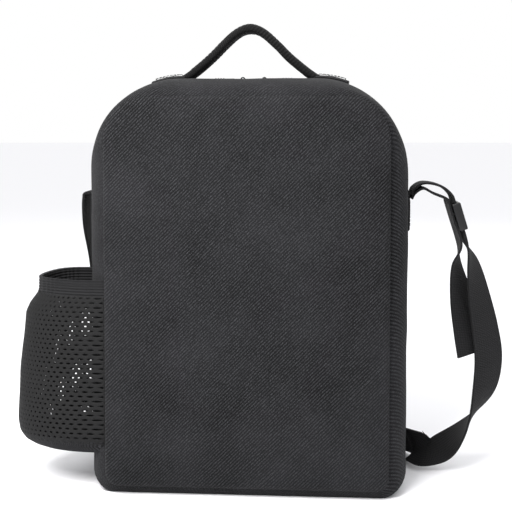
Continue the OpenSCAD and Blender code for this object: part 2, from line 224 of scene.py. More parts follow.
def repeated(name: str, pattern: bpy.types.Object,
             places: Sequence[Matrix]) -> bpy.types.Object:
    """Makes one piece of many copies of a small modelled shape, which is used up.

    Args:
        name: The piece's name.
        pattern: The shape to copy, modelled about the origin.
        places: Where each copy goes.
    Returns:
        The joined object.
    """
    source = pattern.data
    co = np.empty(len(source.vertices) * 3)
    source.vertices.foreach_get("co", co)
    co = np.c_[co.reshape(-1, 3), np.ones(len(source.vertices))]
    faces = [tuple(p.vertices) for p in source.polygons]
    points = np.concatenate([(co @ np.array(m).T)[:, :3] for m in places])
    step = len(co)
    mesh = bpy.data.meshes.new(name)
    mesh.from_pydata(points.tolist(), [],
                     [tuple(k + n * step for k in f) for n in range(len(places))
                      for f in faces])
    obj = bpy.data.objects.new(name, mesh)
    bpy.context.collection.objects.link(obj)
    bpy.data.objects.remove(pattern)
    smooth(obj, 50)
    return obj


def joined(name: str, parts: Sequence[bpy.types.Object]) -> bpy.types.Object:
    """Joins modelled parts into one piece.

    Args:
        name: The piece's name.
        parts: The objects to join.
    Returns:
        The joined object.
    """
    make_active(parts[0])
    for part in parts:
        part.select_set(True)
    bpy.ops.object.join()
    obj = bpy.context.object
    obj.name = obj.data.name = name
    smooth(obj, 40)
    return obj


def block(name: str, size: Sequence[float], at: Sequence[float], bevel: float,
          segments: int = 3) -> bpy.types.Object:
    """Models a bar or plate with rounded edges.

    Args:
        name: The piece's name.
        size: Its three sides in metres.
        at: Its centre.
        bevel: Radius of its edges.
        segments: Number of steps round each edge.
    Returns:
        The finished object.
    """
    deselect_all()
    bpy.ops.mesh.primitive_cube_add(size=1, location=at, scale=size)
    obj = named(name)
    edit(obj, lambda: bpy.ops.mesh.bevel(offset=bevel, segments=segments,
                                         affect="EDGES", clamp_overlap=True))
    return obj


def upright_ring(name: str, at: Sequence[float], radii: Sequence[float],
         segments: Sequence[int]) -> bpy.types.Object:
    """Models a round ring that stands upright and faces along Y.

    Args:
        name: The piece's name.
        at: Its centre.
        radii: Radius of the ring and of its wire.
        segments: Number of steps round each of them.
    Returns:
        The finished object.
    """
    deselect_all()
    bpy.ops.mesh.primitive_torus_add(major_segments=segments[0],
                                     minor_segments=segments[1], major_radius=radii[0],
                                     minor_radius=radii[1], location=at,
                                     rotation=(math.pi / 2, 0, 0))
    return named(name)


def frame_at(origin: Vector, ahead: Vector, up: Vector) -> Matrix:
    """A placing whose X runs ahead and whose Z is as near up as it can be.

    Args:
        origin: Where the copy goes.
        ahead: The direction of its X axis.
        up: Roughly the direction of its Z axis.
    Returns:
        The 4 by 4 matrix.
    """
    x = ahead.normalized()
    y = up.cross(x).normalized()
    z = x.cross(y)
    m = Matrix((x, y, z)).transposed().to_4x4()
    m.translation = origin
    return m


def curve_through(points: Sequence[Vector], steps: int) -> list[Vector]:
    """A smooth line through given points.

    Args:
        points: The points in order.
        steps: Number of steps between each pair of points.
    Returns:
        The points of the line.
    """
    ends = [points[0] * 2 - points[1], *points, points[-1] * 2 - points[-2]]
    line = []
    for a, b, c, d in zip(ends, ends[1:], ends[2:], ends[3:]):
        for k in range(steps):
            t = k / steps
            line.append(0.5 * ((2 * b) + (c - a) * t
                               + (2 * a - 5 * b + 4 * c - d) * t * t
                               + (3 * b - a - 3 * c + d) * t ** 3))
    return [*line, points[-1].copy()]


def ease(t: float) -> float:
    """A smooth rise from 0 to 1 with level ends."""
    t = min(max(t, 0.0), 1.0)
    return t * t * (3 - 2 * t)


def lumps(x: float, y: float, z: float, size: float, seed: float = 0.0) -> float:
    """Soft unevenness, from about -1 to 1, whose lumps measure size metres."""
    return noise.noise(Vector((x / size + seed, y / size - seed, z / size + 2 * seed)))


# ---------------------------------------------------------------- finishes


class Nodes:
    """A short way to add and join shader nodes in one tree."""

    def __init__(self, tree: bpy.types.NodeTree) -> None:
        """Keeps the tree that the nodes go into."""
        self.tree = tree

    def add(self, kind: str, inputs: dict | None = None,
            **settings: object) -> bpy.types.Node:
        """Adds a node.

        Args:
            kind: Blender's node type, without its ShaderNode prefix.
            inputs: Values or sockets for its inputs, by name or index.
            settings: The node's own properties.
        Returns:
            The new node.
        """
        node = self.tree.nodes.new("ShaderNode" + kind)
        for key, value in settings.items():
            setattr(node, key, value)
        for key, value in (inputs or {}).items():
            if isinstance(value, bpy.types.NodeSocket):
                self.tree.links.new(value, node.inputs[key])
            else:
                node.inputs[key].default_value = value
        return node

    def math(self, operation: str, *values: object) -> bpy.types.NodeSocket:
        """Adds a Math node and returns its result."""
        return self.add("Math", dict(enumerate(values)), operation=operation).outputs[0]

    def blend(self, share: object, first: object,
              second: object) -> bpy.types.NodeSocket:
        """Mixes two colours and returns the result."""
        node = self.add("Mix", {0: share, 6: first, 7: second}, data_type="RGBA")
        return node.outputs[2]


def group(name: str, inputs: dict[str, tuple[str, object]], outputs: dict[str, str],
          build: Callable[[Nodes, dict, dict], None]) -> bpy.types.NodeTree:
    """Builds a shared shader effect once.

    Args:
        name: The group's name.
        inputs: Socket type and default of each named input.
        outputs: Socket type of each named output.
        build: Adds the nodes between the inputs' and the outputs' sockets.
    Returns:
        The node group.
    """
    found = bpy.data.node_groups.get(name)
    if found:
        return found
    tree = bpy.data.node_groups.new(name, "ShaderNodeTree")
    for key, (kind, default) in inputs.items():
        socket = tree.interface.new_socket(key, in_out="INPUT",
                                           socket_type="NodeSocket" + kind)
        if default is not None:
            socket.default_value = default
    for key, kind in outputs.items():
        tree.interface.new_socket(key, in_out="OUTPUT", socket_type="NodeSocket" + kind)
    start, end = tree.nodes.new("NodeGroupInput"), tree.nodes.new("NodeGroupOutput")
    build(Nodes(tree), start.outputs, end.inputs)
    return tree


def rounded(n: Nodes, turns: bpy.types.NodeSocket) -> bpy.types.NodeSocket:
    """A row of round humps, one for each whole turn."""
    return n.math("ABSOLUTE", n.math("SINE", n.math("MULTIPLY", turns, math.pi)))


def build_weave(n: Nodes, get: dict, put: dict) -> None:
    """Threads over and under in a stepped twill, in the map's own metres."""
    split = n.add("SeparateXYZ", {0: get["Map"]}).outputs
    warp = n.math("DIVIDE", split[0], get["Pitch"])
    weft = n.math("DIVIDE", split[1], get["Pitch"])
    warp_count, weft_count = n.math("FLOOR", warp), n.math("FLOOR", weft)
    step = n.math("MODULO", n.math("ADD", warp_count, weft_count), get["Repeat"])
    step = n.math("ABSOLUTE", step)
    over = n.math("LESS_THAN", step, n.math("MULTIPLY", get["Repeat"], 0.5))
    lift = n.add("Mix", {0: over, 2: rounded(n, weft), 3: rounded(n, warp)},
                 data_type="FLOAT").outputs[0]
    low = n.math("MULTIPLY", lift, 0.75)
    height = n.add("Mix", {0: over, 2: low, 3: lift}, data_type="FLOAT").outputs[0]
    threads = n.add("CombineXYZ", {0: warp_count, 1: weft_count, 2: 0.0})
    # Random tone per thread, which also serves as painted glints on the threads.
    speck_and_glint = n.add("TexWhiteNoise", {0: threads.outputs[0]}, noise_dimensions="3D")
    n.tree.links.new(height, put["Height"])
    n.tree.links.new(over, put["Over"])
    n.tree.links.new(speck_and_glint.outputs[0], put["SpeckAndGlint"])


def build_ribs(n: Nodes, get: dict, put: dict) -> None:
    """Round ribs across a band, with finer threads along it."""
    split = n.add("SeparateXYZ", {0: get["Map"]}).outputs
    rib = rounded(n, n.math("DIVIDE", split[1], get["Pitch"]))
    cord = rounded(n, n.math("DIVIDE", split[0], get["Cord"]))
    height = n.math("MULTIPLY", rib, n.math("ADD", 0.55,
                                            n.math("MULTIPLY", cord, 0.45)))
    n.tree.links.new(height, put["Height"])


def build_wear(n: Nodes, get: dict, put: dict) -> None:
    """Slow, cloudy variation such as dust and handling leave."""
    place = n.add("TexCoord").outputs["Object"]
    cloud = n.add("TexNoise", {"Vector": place, "Scale": get["Scale"], "Detail": 4.0,
                               "Roughness": 0.6})
    share = n.add("MapRange", {0: cloud.outputs[0], 1: 0.35, 2: 0.65, 3: 0.0,
                               4: get["Amount"]})
    n.tree.links.new(share.outputs[0], put["Mask"])


def weave_group() -> bpy.types.NodeTree:
    """The shared weave."""
    return group("Weave", {"Map": ("Vector", None), "Pitch": ("Float", 0.0005),
                           "Repeat": ("Float", 4.0)},
                 {"Height": "Float", "Over": "Float", "SpeckAndGlint": "Float"}, build_weave)


def ribs_group() -> bpy.types.NodeTree:
    """The shared ribs of webbing, elastic and tape."""
    return group("Ribs", {"Map": ("Vector", None), "Pitch": ("Float", 0.0012),
                          "Cord": ("Float", 0.0016)}, {"Height": "Float"}, build_ribs)


def wear_group() -> bpy.types.NodeTree:
    """The shared cloudy wear."""
    return group("Wear", {"Scale": ("Float", 18.0), "Amount": ("Float", 0.5)},
                 {"Mask": "Float"}, build_wear)


class Pattern(Enum):
    """What a cloth's surface is made of."""

    TWILL = "twill"
    RIBS = "ribs"
    PLAIN = "plain"


@dataclass(frozen=True)
class Finish:
    """One finish, dressed as a procedural material.

    Attributes:
        name: The material's name.
        dark: Colour in the hollows; painted shade in twill and ribs.
        light: Colour on the raised threads; a painted highlight in twill and ribs.
        rough: Roughness.
        pattern: What the surface is made of.
        pitch: Distance between threads or ribs, in metres.
        cord: Distance between the finer threads, in metres.
        bump: Strength of the relief.
        depth: Height of the relief, in metres.
        sheen: Weight of the cloth's soft glow.
        dust: Colour that wear and dust leave.
        wear: How much wear shows.
        metallic: 1 for bare metal.
        coat: Weight of a glossy coat.
        specular: Strength of its gloss.
    """

    name: str
    dark: tuple[float, float, float]
    light: tuple[float, float, float]
    rough: float = 0.8
    pattern: Pattern = Pattern.PLAIN
    pitch: float = 0.0005
    cord: float = 0.0016
    bump: float = 0.5
    depth: float = 0.0003
    sheen: float = 0.0
    dust: tuple[float, float, float] = (0.10, 0.10, 0.11)
    wear: float = 0.15
    metallic: float = 0.0
    coat: float = 0.0
    specular: float = 0.25

    def material(self) -> bpy.types.Material:
        """Builds the material, or returns it when it is built already."""
        found = bpy.data.materials.get(self.name)
        if found:
            return found
        material = bpy.data.materials.new(self.name)
        material.use_nodes = True
        tree = material.node_tree
        n = Nodes(tree)
        shader = tree.nodes["Principled BSDF"]
        where = n.add("TexCoord")
        wear = n.add("Group", {"Amount": self.wear}, node_tree=wear_group())
        if self.pattern is Pattern.TWILL:
            weave = n.add("Group", {"Map": where.outputs["UV"], "Pitch": self.pitch},
                          node_tree=weave_group())
            height = weave.outputs["Height"]
            # Painted shade and highlight: the colour darkens in the weave's hollows and
            # on the lower-lying threads, and lightens on the raised threads.
            share = height
            for output, least, rest in (("SpeckAndGlint", 0.45, 0.55), ("Over", 0.35, 0.65)):
                part = n.math("MULTIPLY", weave.outputs[output], rest)
                share = n.math("MULTIPLY", share, n.math("ADD", least, part))
            share = n.math("POWER", share, 1.7)
        elif self.pattern is Pattern.RIBS:
            ribs = n.add("Group", {"Map": where.outputs["UV"], "Pitch": self.pitch,
                                   "Cord": self.cord}, node_tree=ribs_group())
            # Painted shade and highlight: the colour follows the ribs' height, darker
            # between the ribs and lighter on their crowns.
            height = share = ribs.outputs["Height"]
        else:
            grain = n.add("TexNoise", {"Vector": where.outputs["Object"],
                                       "Scale": 1 / self.pitch, "Detail": 3.0})
            height = share = grain.outputs[0]
        # This blend paints shade in the hollows and highlight on the raised threads of
        # twill and ribs; in plain finishes it is random grain tone.
        colour = n.blend(share, (*self.dark, 1), (*self.light, 1))
        colour = n.blend(wear.outputs["Mask"], colour, (*self.dust, 1))
        tree.links.new(colour, shader.inputs["Base Color"])
        relief = n.add("Bump", {"Strength": self.bump, "Distance": self.depth,
                                "Height": height})
        tree.links.new(relief.outputs[0], shader.inputs["Normal"])
        rough = n.math("ADD", self.rough,
                       n.math("MULTIPLY", wear.outputs["Mask"], 0.12))
        tree.links.new(rough, shader.inputs["Roughness"])
        for socket, value in (("Metallic", self.metallic),
                              ("Specular IOR Level", self.specular),
                              ("Sheen Weight", self.sheen), ("Sheen Roughness", 0.5),
                              ("Coat Weight", self.coat)):
            shader.inputs[socket].default_value = value
        return material


COVER = Finish("cover_twill", (0.0004, 0.0004, 0.0006), (0.052, 0.053, 0.057), 0.8,
               Pattern.TWILL, 0.00063, bump=0.6, depth=0.0003, sheen=0.02,
               dust=(0.045, 0.045, 0.05), specular=0.1)
HANDLE_TWILL = Finish("handle_twill", (0.002, 0.002, 0.002), (0.022, 0.022, 0.023),
                      0.85, Pattern.TWILL, 0.0006, bump=0.7, depth=0.0003, sheen=0.02,
                      dust=(0.014, 0.014, 0.014), specular=0.1)
WEBBING = Finish("ribbed_webbing", (0.0012, 0.0012, 0.0014), (0.015, 0.015, 0.016),
                 0.75, Pattern.RIBS, 0.0013, 0.0021, bump=0.9, depth=0.0004, sheen=0.02,
                 dust=(0.016, 0.016, 0.017), specular=0.12)
ELASTIC = Finish("ribbed_elastic", (0.002, 0.002, 0.0022), (0.014, 0.014, 0.015), 0.75,
                 Pattern.RIBS, 0.0021, 0.0007, bump=0.6, depth=0.0003, sheen=0.02,
                 dust=(0.016, 0.016, 0.017), specular=0.12)
ZIP_TAPE = Finish("zip_tape", (0.003, 0.003, 0.0035), (0.02, 0.02, 0.022), 0.8,
                  Pattern.RIBS, 0.0008, 0.001, bump=0.6, depth=0.0002, specular=0.12)
NET = Finish("knitted_net", (0.002, 0.002, 0.002), (0.011, 0.011, 0.0115), 0.7,
             pitch=0.0004, bump=0.6, depth=0.0002, dust=(0.014, 0.014, 0.014),
             specular=0.15)
THREAD = Finish("stitch_thread", (0.004, 0.004, 0.0045), (0.016, 0.016, 0.017), 0.65,
                pitch=0.0003, bump=0.5, depth=0.0001, specular=0.15)
PLASTIC = Finish("moulded_plastic", (0.004, 0.004, 0.0045), (0.007, 0.007, 0.0075),
                 0.35, pitch=0.0006, bump=0.08, depth=0.0001, wear=0.05,
                 dust=(0.012, 0.012, 0.012), specular=0.3)
TEETH = Finish("zip_teeth", (0.008, 0.008, 0.009), (0.022, 0.022, 0.024), 0.35,
               pitch=0.0004, bump=0.1, depth=0.0001, wear=0.05)
ENAMEL = Finish("black_enamel", (0.012, 0.012, 0.013), (0.02, 0.02, 0.021), 0.25,
                pitch=0.0008, bump=0.08, depth=0.0001, wear=0.08, metallic=0.6,
                coat=0.4)
FOIL = Finish("foil_lining", (0.50, 0.51, 0.53), (0.72, 0.73, 0.75), 0.32, pitch=0.006,
              bump=0.5, depth=0.0006, metallic=0.75, dust=(0.4, 0.4, 0.42))
FOAM = Finish("closed_cell_foam", (0.55, 0.55, 0.53), (0.75, 0.75, 0.73), 0.85,
              pitch=0.0009, bump=0.6, depth=0.0003, dust=(0.6, 0.6, 0.58))
BOARD = Finish("stiff_board", (0.35, 0.35, 0.34), (0.5, 0.5, 0.49), 0.6, pitch=0.002,
               bump=0.2, depth=0.0001, dust=(0.4, 0.4, 0.4))


def dress(obj: bpy.types.Object, finish: Finish) -> bpy.types.Object:
    """Gives an object one finish all over and returns it."""
    obj.data.materials.clear()
    obj.data.materials.append(finish.material())
    return obj


def settle(obj: bpy.types.Object, finish: Finish, body: str,
           nodes: Sequence[str] = ()) -> bpy.types.Object:
    """Dresses a rigid piece and ties it to its body.

    Args:
        obj: The finished piece.
        finish: Its finish.
        body: The body that it moves with.
        nodes: The frame's nodes that it replaces.
    Returns:
        The piece.
    """
    dress(obj, finish)
    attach(obj, body)
    if nodes:
        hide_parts(*nodes)
    log.info("%s: %d faces on %s", obj.name, len(obj.data.polygons), body)
    return obj


# ---------------------------------------------------------------- the bag's form


def node_box(*names: str) -> tuple[Vector, Vector]:
    """The corners of the box round some of the frame's nodes, in metres."""
    boxes = [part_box(name) for name in names]
    low = Vector([min(b[0][k] for b in boxes) for k in range(3)])
    high = Vector([max(b[1][k] for b in boxes) for k in range(3)])
    return low, high


@dataclass(frozen=True)
class Outline:
    """A rounded upright outline: half width, ends, and corner radii, in metres."""

    half_w: float
    low: float
    high: float
    top_r: float
    bottom_r: float

    def mixed(self, other: "Outline", share: float) -> "Outline":
        """The outline part of the way from this one to another."""
        mine = (self.half_w, self.low, self.high, self.top_r, self.bottom_r)
        theirs = (other.half_w, other.low, other.high, other.top_r, other.bottom_r)
        return Outline(*(a + (b - a) * share for a, b in zip(mine, theirs)))

    def inset(self, by: float) -> "Outline":
        """The outline drawn in by a distance."""
        return Outline(self.half_w - by, self.low + by, self.high - by,
                       max(self.top_r - by, 0.002), max(self.bottom_r - by, 0.002))

    def point(self, share: float) -> tuple[float, float]:
        """A point of the outline.

        Args:
            share: How far round, from 0 at the bottom's middle by the right side.
        Returns:
            Its x and z.
        """
        share %= 1.0
        side = 1 if share <= 0.5 else -1
        t = min(share, 1 - share) * 2
        bottom_end, corner_end, side_end, top_corner = 0.16, 0.22, 0.62, 0.84
        if t < bottom_end:
            x, z = (self.half_w - self.bottom_r) * t / bottom_end, self.low
        elif t < corner_end:
            a = (t - bottom_end) / (corner_end - bottom_end) * math.pi / 2
            x = self.half_w - self.bottom_r * (1 - math.sin(a))
            z = self.low + self.bottom_r * (1 - math.cos(a))
        elif t < side_end:
            k = (t - corner_end) / (side_end - corner_end)
            x = self.half_w
            z = self.low + self.bottom_r + (self.high - self.top_r - self.low
                                            - self.bottom_r) * k
        elif t < top_corner:
            a = (t - side_end) / (top_corner - side_end) * math.pi / 2
            x = self.half_w - self.top_r * (1 - math.cos(a))
            z = self.high - self.top_r * (1 - math.sin(a))
        else:
            k = (t - top_corner) / (1 - top_corner)
            x, z = (self.half_w - self.top_r) * (1 - k), self.high
        return side * x, z

    def share_at(self, z: float) -> float:
        """How far round the outline its right side reaches a height."""
        low, high = 0.0, 0.5
        for _ in range(40):
            mid = (low + high) / 2
            low, high = (mid, high) if self.point(mid)[1] < z else (low, mid)
        return low

    def half_width_at(self, z: float) -> float:
        """Half of the outline's width at a height."""
        top, bottom = self.high - self.top_r, self.low + self.bottom_r
        for past, radius in ((z - top, self.top_r), (bottom - z, self.bottom_r)):
            if past > 0:
                return self.half_w - radius + math.sqrt(max(radius ** 2 - past ** 2,
                                                            0.0))
        return self.half_w


@dataclass
class BagForm:
    """The padded body's shape, taken from the frame's panels, sides and zipper.

    Attributes:
        panel_top_r: Radius of the panels' top corners.
        panel_bottom_r: Radius of the panels' bottom corners.
        side_top_r: Radius of the body's top corners at its fullest.
        side_bottom_r: Radius of the body's bottom corners at its fullest.
        back_taper: How far from the back seam the body is at its fullest.
        front_taper: How far from the front seam it is.
        groove: How far the sides draw in at the seams.
        groove_run: How soon they come out again.
        seam_depth: How deep the seam itself is.
        hem: How far from a seam the underside is flat on the floor.
        dome: How far the padded top stands up.
        puckers: How fast the seam's puckers follow each other.
        round_z: Height that the body's soft swelling spreads from.
        round_h: How far up and down it spreads.
    """

    panel_top_r: float = 31 * MM
    panel_bottom_r: float = 9 * MM
    side_top_r: float = 63 * MM
    side_bottom_r: float = 14 * MM
    back_taper: float = 30 * MM
    front_taper: float = 11 * MM
    groove: float = 4.0 * MM
    groove_run: float = 3.6 * MM
    seam_depth: float = 3.0 * MM
    hem: float = 7 * MM
    dome: float = 2.6 * MM
    puckers: float = 420.0
    round_z: float = 0.14
    round_h: float = 0.2

    def __post_init__(self) -> None:
        """Reads the frame's places."""
        low, high = node_box("back_panel")
        self.panel = Outline(high.x, low.z + 3 * MM, high.z + 2 * MM, self.panel_top_r,
                             self.panel_bottom_r)
        low, high = node_box("side_gusset", "base_panel")
        self.side = Outline(high.x, low.z, high.z, self.side_top_r, self.side_bottom_r)
        self.back_y = node_box("back_panel")[0].y
        self.front_y = node_box("front_panel")[1].y
        self.tape_y = node_box("body_zip_tape")[0].y
        self.body_teeth_y = node_box("body_zip_chain")
        self.flap_teeth_y = node_box("flap_zip_chain")
        self.flap_edge_y = node_box("flap_zip_tape")[1].y
        self.fold_z = node_box("front_lower_panel")[1].z
        self.zip_end_z = node_box("body_zip_chain")[0].z
        self.crown_z = self.side.high

    def at(self, y: float, inset: float = 0.0) -> Outline:
        """The outline of the bag at a place along its depth.

        Args:
            y: The place.
            inset: How far it is drawn in.
        Returns:
            The outline.
        """
        back = min((y - self.back_y - self.seam_depth)
                   / (self.back_taper - self.seam_depth), 1.0)
        front = min((self.front_y - y - self.seam_depth)
                    / (self.front_taper - self.seam_depth), 1.0)
        swell = min(back, front)
        share = math.sqrt(max(1 - (1 - max(swell, 0.0)) ** 2, 0.0))
        mixed = self.panel.mixed(self.side, share)
        under = ease(min(y - self.back_y, self.front_y - y) / self.hem)
        low = self.panel.low + (self.side.low - self.panel.low) * under
        return replace(mixed, low=low).inset(inset)

    def puff(self, y: float) -> float:
        """How far the padded top stands up between the back seam and the zipper."""
        share = (y - self.back_y) / (self.tape_y - self.back_y)
        return self.dome * math.sin(math.pi * min(max(share, 0.0), 1.0)) ** 0.8

    def roof(self, x: float, y: float) -> float:
        """The height of the bag's top at a place."""
        outline = self.at(y)
        past = max(abs(x) - (outline.half_w - outline.top_r), 0.0)
        rise = math.sqrt(max(outline.top_r ** 2 - past ** 2, 0.0))
        return outline.high - outline.top_r + rise * (1 + self.puff(y) / outline.top_r)

    def tuck(self, y: float) -> float:
        """How far the sides draw in at the two panels' seams."""
        from_seam = min(y - self.back_y, self.front_y - y)
        return self.groove * math.exp(-(max(from_seam, 0.0) / self.groove_run) ** 2)

    def skin(self, share: float, y: float, inset: float = 0.0,
             soft: float = 1.0) -> Vector:
        """A point on the bag's side, with the unevenness of padded cloth.

        Args:
            share: How far round the outline.
            y: The place along the depth.
            inset: How far it is drawn in.
            soft: How uneven it is.
        Returns:
            The point.
        """
        outline = self.at(y, inset + self.tuck(y))
        x, z = outline.point(share)
        lift = max(z - (outline.high - outline.top_r), 0.0) / outline.top_r
        edge = min(1.0, (y - self.back_y) / (0.3 * self.back_taper))
        flat = ease((z - 2 * MM) / (12 * MM))
        swell = lumps(x, y * 1.6, z, 0.055) * 1.1 * MM
        swell += lumps(x, y * 2, z, 0.018, 3) * 0.35 * MM
        ripple = math.sin(share * self.puckers + 3 * lumps(x, 0, z, 0.03))
        pucker = ripple * (1 - edge) * 0.25 * MM
        grow = (swell * max(edge, 0.0) + pucker) * flat * soft
        out = Vector((x / self.side.half_w, 0, (z - self.round_z) / self.round_h))
        out.normalize()
        return Vector((x, y, z + self.puff(y) * lift)) + out * grow

    def arch(self, y: float, inset: float, start_z: float, steps: int) -> list[Vector]:
        """The zipper's line, up one side, over the top and down the other.

        Args:
            y: Its place along the depth.
            inset: How far it is drawn in.
            start_z: The height that both its ends start from.
            steps: Number of equal steps.
        Returns:
            The line's points.
        """
        outline = self.at(y, inset)
        first, span, count = 0.11, 0.78, 1600
        fine = [outline.point(first + span * k / count) for k in range(count + 1)]
        fine = [Vector((x, y, z)) for x, z in fine if z >= start_z]
        run = np.cumsum([0.0] + [(b - a).length for a, b in zip(fine, fine[1:])])
        places = []
        for want in np.linspace(0, run[-1], steps + 1):
            k = min(int(np.searchsorted(run, want, side="right")) - 1, len(fine) - 2)
            places.append(fine[k].lerp(fine[k + 1],
                                       (want - run[k]) / (run[k + 1] - run[k])))
        return places

@dataclass
class Panel:
    """A padded flat panel with a crowned face and a drawn-in edge.

    Attributes:
        form: The bag's shape.
        crown: How far its middle stands out.
        thick: Its thickness at the seam.
        puckers: How fast the seam's puckers follow each other.
        tuck: How far its hidden edge draws in behind the seam.
    """

    form: BagForm
    crown: float = 3.2 * MM
    thick: float = 4.5 * MM
    puckers: float = 380.0
    tuck: float = 4.6 * MM

    def face(self, y: float, outward_sign: int, share: float, radius: float) -> Vector:
        """A point on the crowned face.

        Args:
            y: The seam's place along the depth.
            outward_sign: -1 for the back, 1 for the front.
            share: How far round the panel.
            radius: How far from the middle to the edge, from 0 to 1.
        Returns:
            The point.
        """
        outline = self.form.panel
        x, z = outline.point(share)
        mid_z = (outline.low + outline.high) / 2
        px, pz = x * radius, mid_z + (z - mid_z) * radius
        rim = 1 - radius
        roll = 1 - (1 - min(rim / 0.018, 1.0)) ** 2
        swell = 0.36 * roll + 0.64 * (1 - (1 - min(rim / 0.2, 1.0)) ** 2.2)
        wave = lumps(px, 0, pz, 0.07, 5) * 0.8 * MM
        wave += lumps(px, 0, pz, 0.024, 9) * 0.22 * MM
        ripple = math.sin(share * self.puckers + 4 * lumps(px, 0, pz, 0.04))
        pull = ripple * 0.22 * MM * math.exp(-rim / 0.035) * ease(rim / 0.01)
        rise = self.crown * swell + wave * swell + pull
        return Vector((px, y + outward_sign * rise, pz))

    def build(self, name: str, y: float, outward_sign: int) -> bpy.types.Object:
        """Models the closed pad.

        Args:
            name: The piece's name.
            y: The seam's place along the depth.
            outward_sign: -1 for the back, 1 for the front.
        Returns:
            The pad.
        """
        inner = -outward_sign * self.thick
        face_part, edge_part = 0.8, 0.2

        def place(u: float, v: float) -> Vector:
            if v <= face_part:
                return self.face(y, outward_sign, u, 1 - (1 - v / face_part) ** 1.35)
            back = (v - face_part) / edge_part
            x, z = self.form.panel.inset(self.tuck * ease(back / 0.75)).point(u)
            return Vector((x, y + inner * back, z))

        pad = cloth(name, 220, 60, place)
        flat_map(pad)
        close_ends(pad, lambda: bpy.ops.mesh.edge_face_add(), 70)
        return pad


def flat_map(obj: bpy.types.Object) -> None:
    """Lays an upright panel's UV map out flat, so that its weave runs straight."""
    mesh = obj.data
    layer = mesh.uv_layers.active.data
    for loop in mesh.loops:
        co = mesh.vertices[loop.vertex_index].co
        layer[loop.index].uv = (-co.x, co.z)


@dataclass
class Shell:
    """The body's sides, lining, panels and the flap's parts.

    Attributes:
        form: The bag's shape.
        cloth_t: Thickness of the cover.
        foam_t: Thickness of the foam.
        lining_t: Thickness of the lining.
        crowding: How much the rows of cells crowd towards the back seam.
    """

    form: BagForm
    cloth_t: float = 1.0 * MM
    foam_t: float = 5.0 * MM
    lining_t: float = 0.8 * MM
    crowding: float = 1.6

    def wall(self, name: str, y0: float, y1: float, inset: float, thick: float,
             rows: int, shares: tuple[float, float] = (0.0, 1.0), across: int = 260,
             soft: float = 1.0) -> bpy.types.Object:
        """Models a stretch of the bag's side as one cloth.

        Args:
            name: The piece's name.
            y0: Where it starts along the depth.
            y1: Where it ends.
            inset: How far it is drawn in.
            thick: Its thickness.
            rows: Number of cells along the depth.
            shares: How far round it starts and ends.
            across: Number of cells round it.
            soft: How uneven it is.
        Returns:
            The piece.
        """
        def place(u: float, v: float) -> Vector:
            y = y0 + (y1 - y0) * (v ** self.crowding if y0 < 0 else v)
            return self.form.skin(shares[0] + (shares[1] - shares[0]) * u, y, inset,
                                  soft)

        return cloth(name, across, rows, place, thick, offset=-1.0)

    def build(self) -> None:
        """Builds and dresses the sides, panels, lining and flap."""
        form, bag, flap = self.form, Body.BAG.value, Body.FLAP.value
        outer = self.wall("side_gusset_cloth", form.back_y, form.tape_y, 0.0,
                          self.cloth_t, 26)
        settle(outer, COVER, bag, ["side_gusset", "base_panel"])
        share = form.side.share_at(form.fold_z)
        low = self.wall("front_base_gusset", form.tape_y, form.front_y, 0.0,
                        self.cloth_t, 12, (-share, share), 110)
        settle(low, COVER, bag)
        back = settle(Panel(form).build("back_panel_pad", form.back_y, -1), COVER, bag,
                      ["back_panel", "back_foam"])
        front = dress(Panel(form, crown=2.6 * MM).build("front_panel_pad", form.front_y,
                                                        1), COVER)
        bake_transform(front)
        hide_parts("front_panel", "front_lower_panel", "front_foam",
                    "front_lower_foam")
        top = form.side.share_at(form.fold_z + 1.2 * MM)
        edge = self.wall("flap_gusset_cloth", form.flap_edge_y, form.front_y, 0.0,
                         self.cloth_t, 12, (top, 1 - top), 190)
        settle(edge, COVER, flap, ["flap_gusset"])
        foam = self.wall("wall_foam_sheet", form.back_y + 5 * MM, form.tape_y,
                         self.cloth_t + 0.6 * MM, self.foam_t - 1 * MM, 16, across=200)
        settle(foam, FOAM, bag, ["wall_foam", "base_foam"])
        self.line(share)

    def line(self, share: float) -> None:
        """Builds the foil lining of the body and the flap."""
        form, bag, flap = self.form, Body.BAG.value, Body.FLAP.value
        inset = self.cloth_t + self.foam_t
        low, high = node_box("lining")
        tub = self.wall("lining_walls", low.y, form.tape_y, inset, self.lining_t, 18,
                        soft=0.6)
        settle(tub, FOIL, bag, ["lining"])
        for name, at, body, low_z, high_z in (("lining_back", low.y, bag, None, None),
                                              ("lining_front_low",
                                               high.y - self.lining_t, bag, None,
                                               form.fold_z),
                                              ("flap_lining_sheet",
                                               high.y - self.lining_t, flap,
                                               form.fold_z + 1 * MM, None)):
            sheet = self.sheet(name, at, inset, low_z, high_z)
            settle(sheet, FOIL, body,
                   ["flap_lining"] if body == flap else [])
        front = self.wall("lining_base_front", form.tape_y, high.y, inset,
                          self.lining_t, 6, (-share, share), 80, soft=0.4)
        settle(front, FOIL, bag)

    def sheet(self, name: str, y: float, inset: float, low_z: float | None,
              high_z: float | None) -> bpy.types.Object:
        """Models one upright sheet of lining.

        Args:
            name: The piece's name.
            y: Its place along the depth.
            inset: How far its edge is drawn in.
            low_z: Height that it is cut at below, if it is.
            high_z: Height that it is cut at above, if it is.
        Returns:
            The sheet.
        """
        outline = self.form.panel.inset(inset - 3 * MM)
        low = outline.low if low_z is None else low_z
        high = outline.high if high_z is None else high_z

        def place(u: float, v: float) -> Vector:
            z = low + (high - low) * v
            x = outline.half_width_at(z) * (2 * u - 1)
            return Vector((x, y + lumps(x, 0, z, 0.03, 7) * 0.5 * MM, z))

        return cloth(name, 60, 80, place, self.lining_t)


# ---------------------------------------------------------------- zipper


